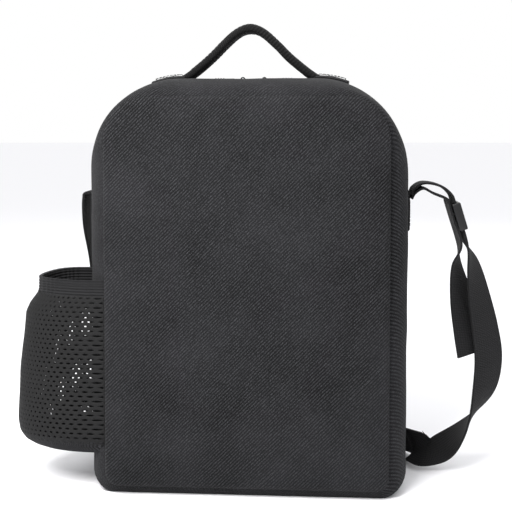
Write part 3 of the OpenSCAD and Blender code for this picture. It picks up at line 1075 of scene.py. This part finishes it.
@dataclass
class Zipper:
    """Tapes, teeth, sliders and pulls of the two-way zipper.

    Attributes:
        form: The bag's shape.
        tooth_count: Number of teeth in a row.
        tape_steps: Number of steps along a tape.
    """

    form: BagForm
    tooth_count: int = 392
    tape_steps: int = 240

    def build(self) -> None:
        """Builds and dresses the whole zipper."""
        form = self.form
        low, high = node_box("body_zip_tape")
        self.tape("body_zip_tape_cloth", low.y, high.y + 0.6 * MM, Body.BAG,
                  "body_zip_tape")
        low, high = node_box("flap_zip_tape")
        self.tape("flap_zip_tape_cloth", low.y - 0.6 * MM, high.y, Body.FLAP,
                  "flap_zip_tape")
        self.teeth("body_zip_teeth", form.body_teeth_y, 1, Body.BAG, "body_zip_chain")
        self.teeth("flap_zip_teeth", form.flap_teeth_y, -1, Body.FLAP, "flap_zip_chain")
        for side in Side:
            self.slider(side)
            self.pull(side)

    def tape(self, name: str, y0: float, y1: float, body: Body, node: str) -> None:
        """Builds one tape along the arch.

        Args:
            name: The piece's name.
            y0: Its first edge.
            y1: Its second edge.
            body: The body that it rides on.
            node: The frame's node that it replaces.
        """
        line = self.form.arch(self.form.tape_y, 0.1 * MM, self.form.fold_z + 1 * MM,
                              self.tape_steps)

        def place(u: float, v: float) -> Vector:
            at = line[round(v * self.tape_steps)]
            dip = math.sin(u * math.pi) * 0.25 * MM
            inward = MIDDLE - at
            inward.y = 0
            return Vector((at.x, y0 + (y1 - y0) * u, at.z)) + inward.normalized() * dip

        settle(cloth(name, 8, self.tape_steps, place, 0.7 * MM), ZIP_TAPE, body.value,
               [node])

    def teeth(self, name: str, box: tuple[Vector, Vector], facing: int, body: Body,
              node: str) -> None:
        """Builds one row of teeth along the arch.

        Args:
            name: The piece's name.
            box: The row's box in the frame.
            facing: The sign of Y that the teeth point towards.
            body: The body that they ride on.
            node: The frame's node that they replace.
        """
        y = (box[0].y + box[1].y) / 2
        length = box[1].y - box[0].y
        line = self.form.arch(self.form.tape_y, 0.0, self.form.zip_end_z,
                              2 * self.tooth_count)
        tooth = block("tooth", (0.95 * MM, length + 0.9 * MM, 1.7 * MM),
                      (0, facing * 0.45 * MM, -0.25 * MM), 0.35 * MM, 2)
        places = []
        for k in range(self.tooth_count):
            at = line[2 * k + (1 if facing > 0 else 0)]
            ahead = line[2 * k + 1] - line[2 * k]
            up = Vector((at.x - MIDDLE.x, 0, at.z - MIDDLE.z))
            places.append(frame_at(Vector((at.x, y, at.z)), ahead,
                                   self.outside(ahead, up)))
        settle(repeated(name, tooth, places), TEETH, body.value, [node])

    @staticmethod
    def outside(ahead: Vector, up: Vector) -> Vector:
        """The direction square to the zipper's line that points away from the bag."""
        normal = ahead.cross(Vector((0, 1, 0))).normalized()
        return normal if normal.dot(up) > 0 else -normal

    def slider(self, side: Side) -> None:
        """Models one slider: two nosed plates, a post, an arched lug and its pin."""
        node = f"zip_slider_{side.word}"
        low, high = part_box(node)
        mid = (Vector(low) + Vector(high)) / 2
        top = self.form.crown_z + 1.3 * MM
        size = Vector(high) - Vector(low)
        plate = block("upper", (size.x, size.y, 1.3 * MM),
                      (mid.x, mid.y, top + 0.6 * MM), 0.55 * MM, 4)
        under = block("under", (size.x, size.y, 1.1 * MM),
                      (mid.x, mid.y, low[2] + 0.6 * MM), 0.45 * MM, 3)
        for vertex in [*plate.data.vertices, *under.data.vertices]:
            reach = side.value * (vertex.co.x - mid.x) / (size.x / 2)
            narrow = 1 - 0.38 * ease(-reach)
            vertex.co.y = mid.y + (vertex.co.y - mid.y) * narrow
        post = block("post", (3 * MM, 0.5 * MM, top - low[2]),
                     (mid.x, mid.y, (top + low[2]) / 2), 0.15 * MM, 1)
        lug_x = mid.x + side.value * size.x / 6
        lug = upright_ring("lug", (mid.x, mid.y, top + 0.9 * MM), (2.3 * MM, 0.65 * MM),
                           (32, 12))
        for vertex in lug.data.vertices:
            vertex.co.x = mid.x + (vertex.co.x - mid.x) * 1.5
        deselect_all()
        bpy.ops.mesh.primitive_cylinder_add(vertices=24, radius=0.55 * MM,
                                            depth=3.4 * MM,
                                            location=(lug_x, mid.y, high[2] - 1.1 * MM),
                                            rotation=(math.pi / 2, 0, 0))
        pin = named("pin")
        piece = joined(f"{node}_metal", [plate, under, post, lug, pin])
        settle(piece, ENAMEL, node, [node])

    def pull(self, side: Side) -> None:
        """Models one pull: an eyed neck and a long tongue with a raised grip."""
        node = f"zip_pull_{side.word}"
        low, high = (Vector(c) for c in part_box(node))
        mid = (low + high) / 2
        eye = mid.x - side.value * ((high.x - low.x) / 2 - 1.65 * MM)
        z = mid.z
        tip = eye + side.value * 23.5 * MM
        eyelet = upright_ring("eye", (eye, mid.y, z), (1.45 * MM, 0.5 * MM), (28, 10))
        neck = block("neck", (5 * MM, 1.7 * MM, 1.2 * MM),
                     (eye + side.value * 3.6 * MM, mid.y, z), 0.35 * MM)
        tongue = block("tongue", (17.5 * MM, 5.6 * MM, 1.4 * MM),
                       (tip - side.value * 8.75 * MM, mid.y, z), 0.6 * MM, 4)
        grips = [block("grip", (0.9 * MM, 3.6 * MM, 0.5 * MM),
                       (tip - side.value * (3 + 2 * k) * MM, mid.y, z + 0.8 * MM),
                       0.2 * MM, 2) for k in range(4)]
        piece = joined(f"{node}_metal", [eyelet, neck, tongue, *grips])
        settle(piece, ENAMEL, node, [node])


# ---------------------------------------------------------------- webbing and handle


def stitches(name: str, runs: Sequence[Sequence[Vector]],
             up: Callable[[Vector], Vector], body: Body,
             pitch: float = 3.2 * MM) -> bpy.types.Object:
    """Sews lines of thread on a surface.

    Args:
        name: The piece's name.
        runs: The lines, each a list of points on the surface.
        up: Gives the surface's outward direction at a point.
        body: The body that the thread moves with.
        pitch: Distance from one stitch to the next.
    Returns:
        The thread, as one piece.
    """
    thread = block("thread", (pitch * 0.74, 0.5 * MM, 0.42 * MM), (0, 0, 0.06 * MM),
                   0.16 * MM, 2)
    places = []
    for run in runs:
        lengths = np.cumsum([0.0] + [(b - a).length for a, b in zip(run, run[1:])])
        for want in np.arange(pitch / 2, lengths[-1], pitch):
            k = min(int(np.searchsorted(lengths, want, side="right")) - 1, len(run) - 2)
            at = run[k].lerp(run[k + 1],
                             (want - lengths[k]) / (lengths[k + 1] - lengths[k]))
            places.append(frame_at(at, run[k + 1] - run[k], up(at)))
    return settle(repeated(name, thread, places), THREAD, body.value)


def box_stitch(corner: Vector, across: Vector, along: Vector) -> list[list[Vector]]:
    """The lines of a sewn box with a cross in it.

    Args:
        corner: Its first corner.
        across: Its first side.
        along: Its second side.
    Returns:
        The lines.
    """
    a, b, c, d = corner, corner + across, corner + across + along, corner + along
    return [[a, b], [b, c], [c, d], [d, a], [a, c], [b, d]]


Ring = tuple[Vector, Vector]  # a place and the direction of the width there


@dataclass
class Ribbon:
    """A flat strip of webbing through rings of place and width direction.

    Attributes:
        width: Its width.
        thick: Its thickness.
        steps: Number of steps between rings.
    """

    width: float = 25 * MM
    thick: float = 1.5 * MM
    steps: int = 10

    def build(self, name: str, rings: Sequence[Ring]) -> bpy.types.Object:
        """Models the strip.

        Args:
            name: The piece's name.
            rings: Each ring's place and the direction of the width there.
        Returns:
            The strip.
        """
        line = curve_through([point for point, _ in rings], self.steps)
        widths = curve_through([width.normalized() for _, width in rings], self.steps)
        last = len(line) - 1

        def place(u: float, v: float) -> Vector:
            k = round(v * last)
            ahead = (line[min(k + 1, last)] - line[max(k - 1, 0)]).normalized()
            normal = ahead.cross(widths[k]).normalized()
            width = normal.cross(ahead)
            cup = (math.sin(u * math.pi) - 0.6) * 0.35 * MM
            return line[k] + width * (u - 0.5) * self.width + normal * cup

        return cloth(name, 12, last, place, self.thick, offset=0.0)


@dataclass
class Handle:
    """The wrapped top handle, its sewn feet and their patches.

    Attributes:
        form: The bag's shape.
        width: Width of the band.
        thick: Thickness of the band.
        foot_thick: Thickness of its flat feet.
        route: Half of its middle line: how far out and how far above the top each
            point is, in millimetres.
    """

    form: BagForm
    width: float = 20 * MM
    thick: float = 6.2 * MM
    foot_thick: float = 2.6 * MM
    route: Sequence[tuple[float, float]] = ((70, 0.4), (63, 0.8), (56, 1.0),
                                            (49.5, 2.4), (43.4, 6.2), (37, 11.0),
                                            (30.2, 16.8), (24.5, 22.2), (19.2, 27.6),
                                            (12, 34.2), (6, 38.0), (0, 39.3))

    def line(self) -> list[Vector]:
        """The middle line of the band from left foot to right foot."""
        roof = self.form.roof
        crown, rest = self.form.crown_z, self.foot_thick / 2
        half = [Vector((x * MM, 0, max(crown + z * MM, roof(x * MM, 0) + rest)))
                for x, z in self.route]
        left = [Vector((-p.x, p.y, p.z)) for p in half]
        return curve_through([*left, *reversed(half[:-1])], 9)

    def size_at(self, v: float) -> tuple[float, float]:
        """The band's width and thickness at a share of its length."""
        body = ease((min(v, 1 - v) - 0.07) / 0.13)
        pinch = math.exp(-((v - 0.5) / 0.03) ** 2)
        return (self.width + (1 - body) * 1.5 * MM,
                self.foot_thick + (self.thick - self.foot_thick) * body
                + pinch * 0.6 * MM)

    def build(self) -> None:
        """Builds and dresses the handle."""
        line = self.line()
        last = len(line) - 1

        def along(v: float) -> tuple[Vector, Vector]:
            k = round(v * last)
            ahead = (line[min(k + 1, last)] - line[max(k - 1, 0)]).normalized()
            return line[k], Vector((-ahead.z, 0, ahead.x))

        def place(u: float, v: float) -> Vector:
            at, normal = along(v)
            width, thick = self.size_at(v)
            a = 2 * math.pi * u
            c, s = math.cos(a), math.sin(a)
            y = math.copysign(abs(c) ** 0.55, c) * width / 2
            n = math.copysign(abs(s) ** 0.75, s) * thick / 2
            fold = lumps(at.x, y, at.z, 0.011, 4) * 0.35 * MM
            return at + normal * (n + fold) + Vector((0, y, 0))

        band = cloth("handle_band", 44, last, place)
        close_ends(band, lambda: bpy.ops.mesh.fill_holes(sides=0), 60)
        dress(band, HANDLE_TWILL)
        self.tie(band)
        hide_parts("handle_wrap", "handle_core")
        runs = []
        for edge in (-1, 1):
            for face in (-1, 1):
                run = []
                for k in range(int(0.2 * last), int(0.8 * last) + 1):
                    at, normal = along(k / last)
                    width, thick = self.size_at(k / last)
                    across = Vector((0, edge * width * 0.33, 0))
                    run.append(at + normal * face * thick * 0.44 + across)
                runs.append(run)
        middle = Vector((0, 0, self.form.crown_z))
        stitches("handle_stitches", runs, lambda at: at - middle, Body.HANDLE)
        for side in Side:
            self.patch(side)

    def tie(self, piece: bpy.types.Object) -> None:
        """Moves a piece's placing into its mesh."""
        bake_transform(piece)

    def patch(self, side: Side) -> None:
        """Builds the webbing patch that holds one foot down."""
        node = f"handle_patch_{side.word}"
        low, high = (Vector(c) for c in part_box(node))

        def place(u: float, v: float) -> Vector:
            x = low.x + (high.x - low.x) * v
            y = low.y - 1.5 * MM + (high.y - low.y + 3 * MM) * u
            over = self.foot_thick * math.exp(-((y / (11.4 * MM)) ** 6))
            return Vector((x, y, self.form.roof(x, y) + over + 0.6 * MM))

        settle(cloth(f"{node}_webbing", 16, 24, place, 1.3 * MM), WEBBING,
               Body.BAG.value, [node])
        corner = Vector((low.x + 2.5 * MM, -7.5 * MM, 0))
        runs = [[a.lerp(b, k / 12) for k in range(13)] for a,
                b in box_stitch(corner, Vector((19 * MM, 0, 0)),
                                Vector((0, 15 * MM, 0)))]
        for at in (point for run in runs for point in run):
            at.z = self.form.roof(at.x, at.y) + self.foot_thick + 1.25 * MM
        stitches(f"{node}_stitches", runs, lambda at: Vector((0, 0, 1)), Body.BAG,
                 2.6 * MM)


# ---------------------------------------------------------------- shoulder strap


@dataclass
class ShoulderStrap:
    """The strap's tabs, its doubled short end, long run, tail and adjuster.

    Attributes:
        side_x: Half width of the bag's side.
        half_y: Half depth of the bag.
        lean: Lean of the run that the adjuster sits on, in degrees.
        strap_t: Thickness of the webbing.
        bar_t: Thickness of the adjuster's bars.
        clear: Gap between the webbing and a bar.
        adjuster_l: Length of the adjuster.
        travel: How far the adjuster slides.
        ribbon: The webbing's own measures.
    """

    side_x: float
    half_y: float
    lean: float = 17.0
    strap_t: float = 1.5 * MM
    bar_t: float = 2.0 * MM
    clear: float = 0.35 * MM
    adjuster_l: float = 20 * MM
    travel: float = 8 * MM
    ribbon: Ribbon = field(default_factory=Ribbon)

    def __post_init__(self) -> None:
        """Reads the anchors' place from the strap's joint."""
        joints = frame["record"]["behaviour"]["joints"]
        joint = next(j for j in joints if j["name"] == "strap_swing")
        self.anchor_y, self.anchor_z = joint["pos_m"][1:]
        self.hub = Vector((self.side_x + 36 * MM, self.anchor_y,
                           self.anchor_z - 16 * MM))
        self.pitch = self.bar_t / 2 + self.clear + self.strap_t / 2

    def along(self, down: float, out: float) -> Vector:
        """A point down the straight run from the adjuster, and out of the run."""
        a = math.radians(self.lean)
        return self.hub + Vector((down * math.sin(a) + out * math.cos(a), 0,
                                  -down * math.cos(a) + out * math.sin(a)))

    def near(self, x: float, y: float, z: float,
             width: Sequence[float] = (0, 1, 0)) -> Ring:
        """A ring placed from the right side and the right anchor, in millimetres."""
        start = Vector((self.side_x, self.anchor_y, self.anchor_z))
        return start + Vector((x, y, z)) * MM, Vector(width)

    def low(self, x: float, y: float, z: float, width: Sequence[float]) -> Ring:
        """A ring placed from the right side, the anchor's depth and the floor."""
        start = Vector((self.side_x, self.anchor_y, 0))
        return start + Vector((x, y, z)) * MM, Vector(width)

    def behind(self, x: float, y: float, z: float, width: Sequence[float]) -> Ring:
        """A ring placed from the left side, the bag's front face and the floor."""
        start = Vector((-self.side_x, self.half_y, 0))
        return start + Vector((x, y, z)) * MM, Vector(width)

    def build(self) -> None:
        """Builds and dresses the whole strap."""
        flat = Vector((0, 1, 0))
        half_mm, anchor_mm = self.half_y / MM, self.anchor_z / MM
        up = -self.adjuster_l / 2 - 1 * MM
        down = self.adjuster_l / 2 + self.travel + 2 * MM
        outer = [self.near(4, 0, 0), self.near(6, 0, 4.5), self.near(12, 0, 8.2),
                 self.near(20, 0, 7.8), self.near(28, 0, 4.6), self.near(33, 0, -0.2),
                 (self.along(up, self.pitch), flat), (self.along(0, self.pitch), flat)]
        inner = [self.near(4, 0, -3), self.near(6.5, 0, 1.3), self.near(12.5, 0, 4.6),
                 self.near(20, 0, 0.9), (self.along(up - 3 * MM, -self.pitch), flat),
                 (self.along(up, -self.pitch), flat),
                 (self.along(0, -self.pitch), flat)]
        loops = joined("anchor_webbing_loop", [self.ribbon.build("outer_loop", outer),
                                               self.ribbon.build("inner_loop", inner)])
        settle(loops, WEBBING, Body.STRAP.value, ["anchor_webbing"])
        tail = [(self.along(0, -self.pitch), flat),
                (self.along(down, -self.pitch), flat),
                self.near(38, 1, -52, (0.4, 1, 0)),
                self.near(42, 2, -76, (0.8, 0.8, 0)),
                self.near(47, 3, -100, (1, 0.6, 0)),
                self.near(50, 4, -118, (1, 0.6, 0))]
        settle(self.ribbon.build("strap_tail_end", tail), WEBBING, Body.STRAP.value,
               ["strap_tail"])
        long_run = [(self.along(0, self.pitch), flat),
                    (self.along(down, self.pitch), flat),
                    self.near(50, 1, -52, (0.5, 1, 0)),
                    self.near(55, 3, -76, (0.9, 0.9, 0)),
                    self.near(60, 5, -100, (1, 0.7, 0)),
                    self.near(63, 7, -122, (1, 0.6, 0)),
                    self.near(61, 9, -144, (1, 0.7, 0.3)),
                    self.near(54, 11, -163, (0.8, 1, 0.6)),
                    self.low(43, 13, 28.2, (0.4, 1, 0.8)),
                    self.low(31, 15, 16.2, (0, 1, 0.8)),
                    self.low(18, 18, 10.2, (0.1, 1, 0.5)),
                    self.low(10, 30, 13.7, (-0.4, 0.6, 0.6)),
                    self.low(6, 46, 14.2, (-0.3, 0.2, 1)),
                    self.low(-6, half_mm + 7, 15.2, (-0.1, 0, 1)),
                    self.low(-26, half_mm + 13, 15.2, (0, -0.1, 1)),
                    self.behind(self.side_x / MM, 20, 16.2, (0, -0.1, 1)),
                    self.behind(30, 19, 17.2, (0.1, -0.1, 1)),
                    self.behind(8, 18, 23.2, (0.6, 0.1, 1)),
                    self.behind(-8, 15, 37.2, (1, 0.9, 0.9)),
                    self.behind(-15, 9, 61.2, (0.3, 1, 0.3)),
                    self.behind(-15, 3, 96.2, (0, 1, 0.2)),
                    self.behind(-14, -4, 131.2, (0, 1, 0.3)),
                    self.behind(-13.5, -16, 161.2, (0, 1, 0.5)),
                    self.behind(-13, 15 - half_mm, anchor_mm - 20, (0, 1, 0.4)),
                    self.behind(-11, 7 - half_mm, anchor_mm - 5, (0, 1, 0.1)),
                    self.behind(-8.5, 5 - half_mm, anchor_mm + 0.5, flat),
                    self.behind(-4, 5 - half_mm, anchor_mm, flat)]
        settle(self.ribbon.build("shoulder_strap_run", long_run), WEBBING,
               Body.STRAP.value, ["strap_webbing"])
        for side in Side:
            self.tab(side)
        self.adjuster()

    def tab(self, side: Side) -> None:
        """Builds one doubled tab sewn on the side, with its box stitch."""
        node = f"strap_tab_{side.word}"
        low, high = (Vector(c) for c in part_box(node))
        face = high.x if side is Side.RIGHT else low.x

        def place(u: float, v: float) -> Vector:
            edge = min(u, 1 - u, v, 1 - v)
            lift = 1 * MM * (1 - ease(edge / 0.04)) + 0.15 * MM * math.sin(v * 9)
            return Vector((face - side.value * lift, low.y + (high.y - low.y) * u,
                           low.z + (high.z - low.z) * v))

        settle(cloth(f"{node}_webbing", 24, 28, place, 2.6 * MM), WEBBING,
               Body.BAG.value, [node])
        corner = Vector((face + side.value * 0.1 * MM, low.y + 3.5 * MM,
                         low.z + 3.5 * MM))
        stitches(f"{node}_stitches", box_stitch(corner, Vector((0, 18 * MM, 0)),
                                                Vector((0, 0, 18 * MM))),
                 lambda at: Vector((side.value, 0, 0)), Body.BAG, 2.6 * MM)

    def adjuster(self) -> None:
        """Models the rounded three-bar adjuster."""
        rail_in = self.ribbon.width / 2 + self.clear
        reach = rail_in + 2.5 * MM
        end_in = self.bar_t / 2 + 2 * self.clear + self.strap_t
        depth = end_in + 1.5 * self.bar_t
        bars = []
        for s in (-1, 1):
            bars.append(block("rail", (depth, 2.5 * MM, self.adjuster_l),
                              (depth / 2 - self.bar_t / 2, s * (rail_in + 1.25 * MM),
                               0), 0.9 * MM, 4))
            bars.append(block("end_bar",
                              (self.bar_t, 2 * reach - 1 * MM, self.adjuster_l / 5),
                              (end_in + self.bar_t / 2, 0, s * self.adjuster_l * 0.4),
                              0.8 * MM, 4))
        bars.append(block("middle_bar",
                          (self.bar_t, 2 * reach - 1 * MM, self.adjuster_l / 5),
                          (0, 0, 0), 0.8 * MM, 4))
        piece = joined("strap_adjuster_plastic", bars)
        turn = Matrix.Translation(self.hub) @ Matrix.Rotation(math.radians(-self.lean),
                                                              4, "Y")
        piece.data.transform(turn)
        settle(piece, PLASTIC, Body.ADJUSTER.value,
               ["strap_adjuster"])


# ---------------------------------------------------------------- side pocket


@dataclass
class SidePocket:
    """The net pocket on the left side: its net, ribbed elastic rim and cloth base.

    Attributes:
        form: The bag's shape.
        cell: Distance between the net's holes.
        strand: Width of the net's strands.
        net_length: Length of the net round the pocket.
        squash: Height of a cell against its width.
        profile: Heights and how far the pocket stands out there, in millimetres.
    """

    form: BagForm
    cell: float = 4.1 * MM
    strand: float = 2.7 * MM
    net_length: float = 0.168
    squash: float = 0.92
    profile: Sequence[tuple[float, float]] = ((28, 38), (29.5, 45), (32.5, 51),
                                              (38, 54.5), (46, 56), (60, 55.6),
                                              (76, 54), (94, 52.5), (112, 51),
                                              (124, 49.5), (131, 46), (135, 42.5),
                                              (138, 40), (144, 39.5), (150, 39.5))

    def __post_init__(self) -> None:
        """Reads the pocket's place from the frame."""
        low, high = node_box("pocket_mesh", "pocket_rim", "pocket_base")
        self.base_z, self.top_z = low.z, high.z
        self.rim_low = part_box("pocket_rim")[0][2]
        self.net_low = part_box("pocket_mesh")[0][2]
        self.back_y, self.front_y = self.form.back_y + 1.2 * MM, high.y

    def out(self, z: float) -> float:
        """How far the pocket stands out of the bag's side at a height."""
        heights = [h * MM for h, _ in self.profile]
        return float(np.interp(z, heights, [o * MM for _, o in self.profile]))

    def point(self, share: float, z: float, grow: float = 0.0) -> Vector:
        """A point of the pocket's wall.

        Args:
            share: How far round, from the back panel's seam to the side's front.
            z: Its height.
            grow: How far it stands off the wall.
        Returns:
            The point.
        """
        a = math.pi * share
        mid_y, r = (self.back_y + self.front_y) / 2, (self.front_y - self.back_y) / 2
        inner, outer = self.form.panel.half_w, self.form.side.half_w
        base = inner + (outer - inner) * ease(share * 1.6)
        reach = outer + self.out(z) - base
        tuck = ease((z - self.base_z) / (14 * MM))
        round_r = r * (0.86 + 0.14 * tuck)
        x = -(base + (reach + grow) * math.sin(a) ** 0.72)
        y = mid_y - (round_r + grow) * math.copysign(abs(math.cos(a)) ** 0.9,
                                                     math.cos(a))
        slack = lumps(x, y, z, 0.024, 11) * 1.1 * MM * math.sin(a)
        return Vector((x - slack, y, z))

    def build(self) -> None:
        """Builds and dresses the pocket."""
        bag = Body.BAG.value
        settle(self.net(), NET, bag, ["pocket_mesh"])
        settle(self.rim(), ELASTIC, bag, ["pocket_rim"])
        settle(self.base(), COVER, bag, ["pocket_base"])

    def net(self) -> bpy.types.Object:
        """Models the net: six-sided cells, each opened, then thickened and rounded."""
        rise = self.rim_low - self.net_low + 3 * MM
        step_z = self.cell * math.sqrt(3) / 2 * self.squash
        rows = int(rise / step_z)
        columns = int(self.net_length / self.cell)
        points, faces, index = [], [], {}

        def corner(cx: float, cz: float, k: int) -> int:
            a = math.radians(60 * k + 30)
            px = cx + self.cell / math.sqrt(3) * math.cos(a)
            pz = cz + self.cell / math.sqrt(3) * math.sin(a) * self.squash
            key = (round(px * 1e5), round(pz * 1e5))
            if key not in index:
                index[key] = len(points)
                points.append((px, pz))
            return index[key]

        for j in range(rows + 1):
            for i in range(columns + 1):
                cx = (i + 0.5 * (j % 2)) * self.cell
                faces.append([corner(cx, j * step_z, k) for k in range(6)])
        top = max(p[1] for p in points)
        wide = max(p[0] for p in points)
        start = self.net_low - 1 * MM
        spots = [self.point(min(max(px / wide, 0.0), 1.0), start + pz / top * rise)
                 for px, pz in points]
        mesh = bpy.data.meshes.new("pocket_net")
        mesh.from_pydata([tuple(p) for p in spots], [], faces)
        obj = bpy.data.objects.new("pocket_net", mesh)
        bpy.context.collection.objects.link(obj)
        edit(obj, lambda: bpy.ops.mesh.normals_make_consistent(inside=False),
             lambda: bpy.ops.mesh.inset(thickness=self.strand / 2, use_individual=True),
             lambda: bpy.ops.mesh.delete(type="FACE"))
        apply_modifier(obj, "SOLIDIFY", thickness=0.9 * MM, offset=0.0)
        apply_modifier(obj, "SUBSURF", levels=1, render_levels=1)
        outward(obj, 1e-7)
        smooth(obj, 180)
        return obj

    def rim(self) -> bpy.types.Object:
        """Models the elastic rim, folded over at the top, with its ribs and gathers."""
        height = self.top_z - self.rim_low

        def place(u: float, v: float) -> Vector:
            inside = v > 0.5
            if inside:
                z = self.top_z - height * min((v - 0.5) / 0.5, 1.0) * 0.9
            else:
                z = self.rim_low + height * min(v / 0.5, 1.0)
            rib = math.sin((z - self.rim_low) / height * math.pi * 11) * 0.22 * MM
            gather = math.sin(u * 150 + 2 * math.sin(u * 31)) * 0.35 * MM
            wave = math.sin(u * 9.0) * 0.8 * MM * math.sin(math.pi * u)
            fold = math.sin(min(max((v - 0.46) / 0.08, 0.0), 1.0) * math.pi) * 0.5 * MM
            grow = -2.2 * MM if inside else 0.0
            return self.point(u, z + wave + fold, grow + rib + gather * 0.5)

        return cloth("pocket_rim_elastic", 260, 64, place, 0.8 * MM)

    def base(self) -> bpy.types.Object:
        """Models the gathered cloth base, closed underneath."""
        under_part, wall_part = 0.45, 0.55

        def place(u: float, v: float) -> Vector:
            if v > under_part:
                rise = self.net_low + 1.5 * MM - self.base_z
                z = self.base_z + rise * (v - under_part) / wall_part
                return self.point(u, z, 0.3 * MM)
            edge = self.point(u, self.base_z, 0.3 * MM)
            inner = Vector((-self.form.side.half_w + 4 * MM, edge.y * 0.6 - 6 * MM,
                            self.base_z + 1.5 * MM))
            share = v / under_part
            sag = -1.0 * MM * math.sin(share * math.pi)
            spot = inner.lerp(edge, share)
            return spot + Vector((0, 0, sag + 1.2 * MM * (1 - share)))

        return cloth("pocket_base_cloth", 120, 30, place, 0.9 * MM)


# ---------------------------------------------------------------- the studio


@dataclass
class Studio:
    """The pale floor, the soft lights and the camera.

    Attributes:
        eye: The camera's place.
        lens: Its focal length in millimetres.
        pitch: How far it looks down, in degrees.
        turn: How far it turns, in degrees.
        shift_y: How far the picture is shifted, as a share of its width.
        floor_size: Length of the floor's sides.
        floor_y: How far behind the bag the floor's middle lies.
    """

    eye: tuple[float, float, float] = (0.0505, -0.700, 0.254)
    lens: float = 67.6
    pitch: float = 2.9
    turn: float = 3.82
    shift_y: float = -0.15
    floor_size: float = 60
    floor_y: float = 28

    def build(self) -> None:
        """Builds the floor, lights and camera."""
        self.floor()
        self.lights()
        self.camera()

    def floor(self) -> None:
        """Lays the floor under the bag."""
        deselect_all()
        bpy.ops.mesh.primitive_plane_add(size=self.floor_size,
                                         location=(0, self.floor_y, 0))
        floor = named("studio_floor")
        material = bpy.data.materials.new("studio_white")
        material.use_nodes = True
        shader = material.node_tree.nodes["Principled BSDF"]
        shader.inputs["Base Color"].default_value = (0.93, 0.93, 0.955, 1)
        shader.inputs["Roughness"].default_value = 0.9
        floor.data.materials.append(material)

    def lights(self) -> None:
        """Hangs soft lights round the bag and lights the room evenly."""
        for name, place, size, power, tint in (
                ("key", (-0.22, -0.45, 0.62), 0.4, 10.0, (1, 0.99, 0.98)),
                ("fill", (1.1, -0.9, 0.8), 1.2, 1.5, (0.97, 0.98, 1)),
                ("back", (0.2, 1.2, 1.2), 1.2, 5.0, (1, 1, 1))):
            deselect_all()
            bpy.ops.object.light_add(type="AREA", location=place)
            light = bpy.context.object
            light.name = f"{name}_light"
            light.data.size, light.data.energy, light.data.color = size, power, tint
            aim = MIDDLE - Vector(place)
            light.rotation_euler = aim.to_track_quat("-Z", "Y").to_euler()
        world = bpy.data.worlds.new("studio_room")
        world.use_nodes = True
        air = world.node_tree.nodes["Background"].inputs
        air["Color"].default_value = (1, 1, 1, 1)
        air["Strength"].default_value = 1.0
        bpy.context.scene.world = world
        bpy.context.scene.view_settings.view_transform = "Standard"

    def camera(self) -> None:
        """Sets the camera."""
        deselect_all()
        bpy.ops.object.camera_add(location=self.eye)
        camera = bpy.context.object
        camera.rotation_euler = (math.radians(90 - self.pitch), 0,
                                 math.radians(self.turn))
        camera.data.lens = self.lens
        camera.data.shift_y = self.shift_y
        camera.data.clip_start, camera.data.clip_end = 0.01, 20
        bpy.context.scene.camera = camera


# ---------------------------------------------------------------- the whole bag


@dataclass
class CoolerBag:
    """The whole bag: its form and every sub-assembly."""

    form: BagForm = field(default_factory=BagForm)

    def build(self) -> None:
        """Builds each sub-assembly in turn."""
        Shell(self.form).build()
        Zipper(self.form).build()
        Handle(self.form).build()
        ShoulderStrap(self.form.side.half_w, self.form.front_y).build()
        SidePocket(self.form).build()
        self.seams()
        self.inner_parts()

    def seams(self) -> None:
        """Sews the lines that run beside the zipper on both bodies."""
        form = self.form

        def up(at: Vector) -> Vector:
            away = at - MIDDLE
            away.y = 0
            return away

        for name, y, body in (("body_zip_stitches", form.tape_y - 2 * MM, Body.BAG),
                              ("flap_zip_stitches", form.flap_edge_y + 1.6 * MM,
                               Body.FLAP)):
            line = form.arch(y, -0.45 * MM, form.fold_z + 4 * MM, 400)
            stitches(name, [line], up, body)

    def inner_parts(self) -> None:
        """Dresses the frame's own parts that stay as they are."""
        for node, finish in (("base_board", BOARD), ("inner_binding", WEBBING),
                             ("zip_end_stops", ENAMEL)):
            dress(frame["nodes"][node], finish)
            log.info("%s keeps its shape in %s", node, finish.name)


def main() -> None:
    """Builds the bag and its studio."""
    logging.basicConfig(level=logging.INFO, format="%(name)s: %(message)s")
    Studio().build()
    CoolerBag().build()


if __name__ == "__main__":
    main()
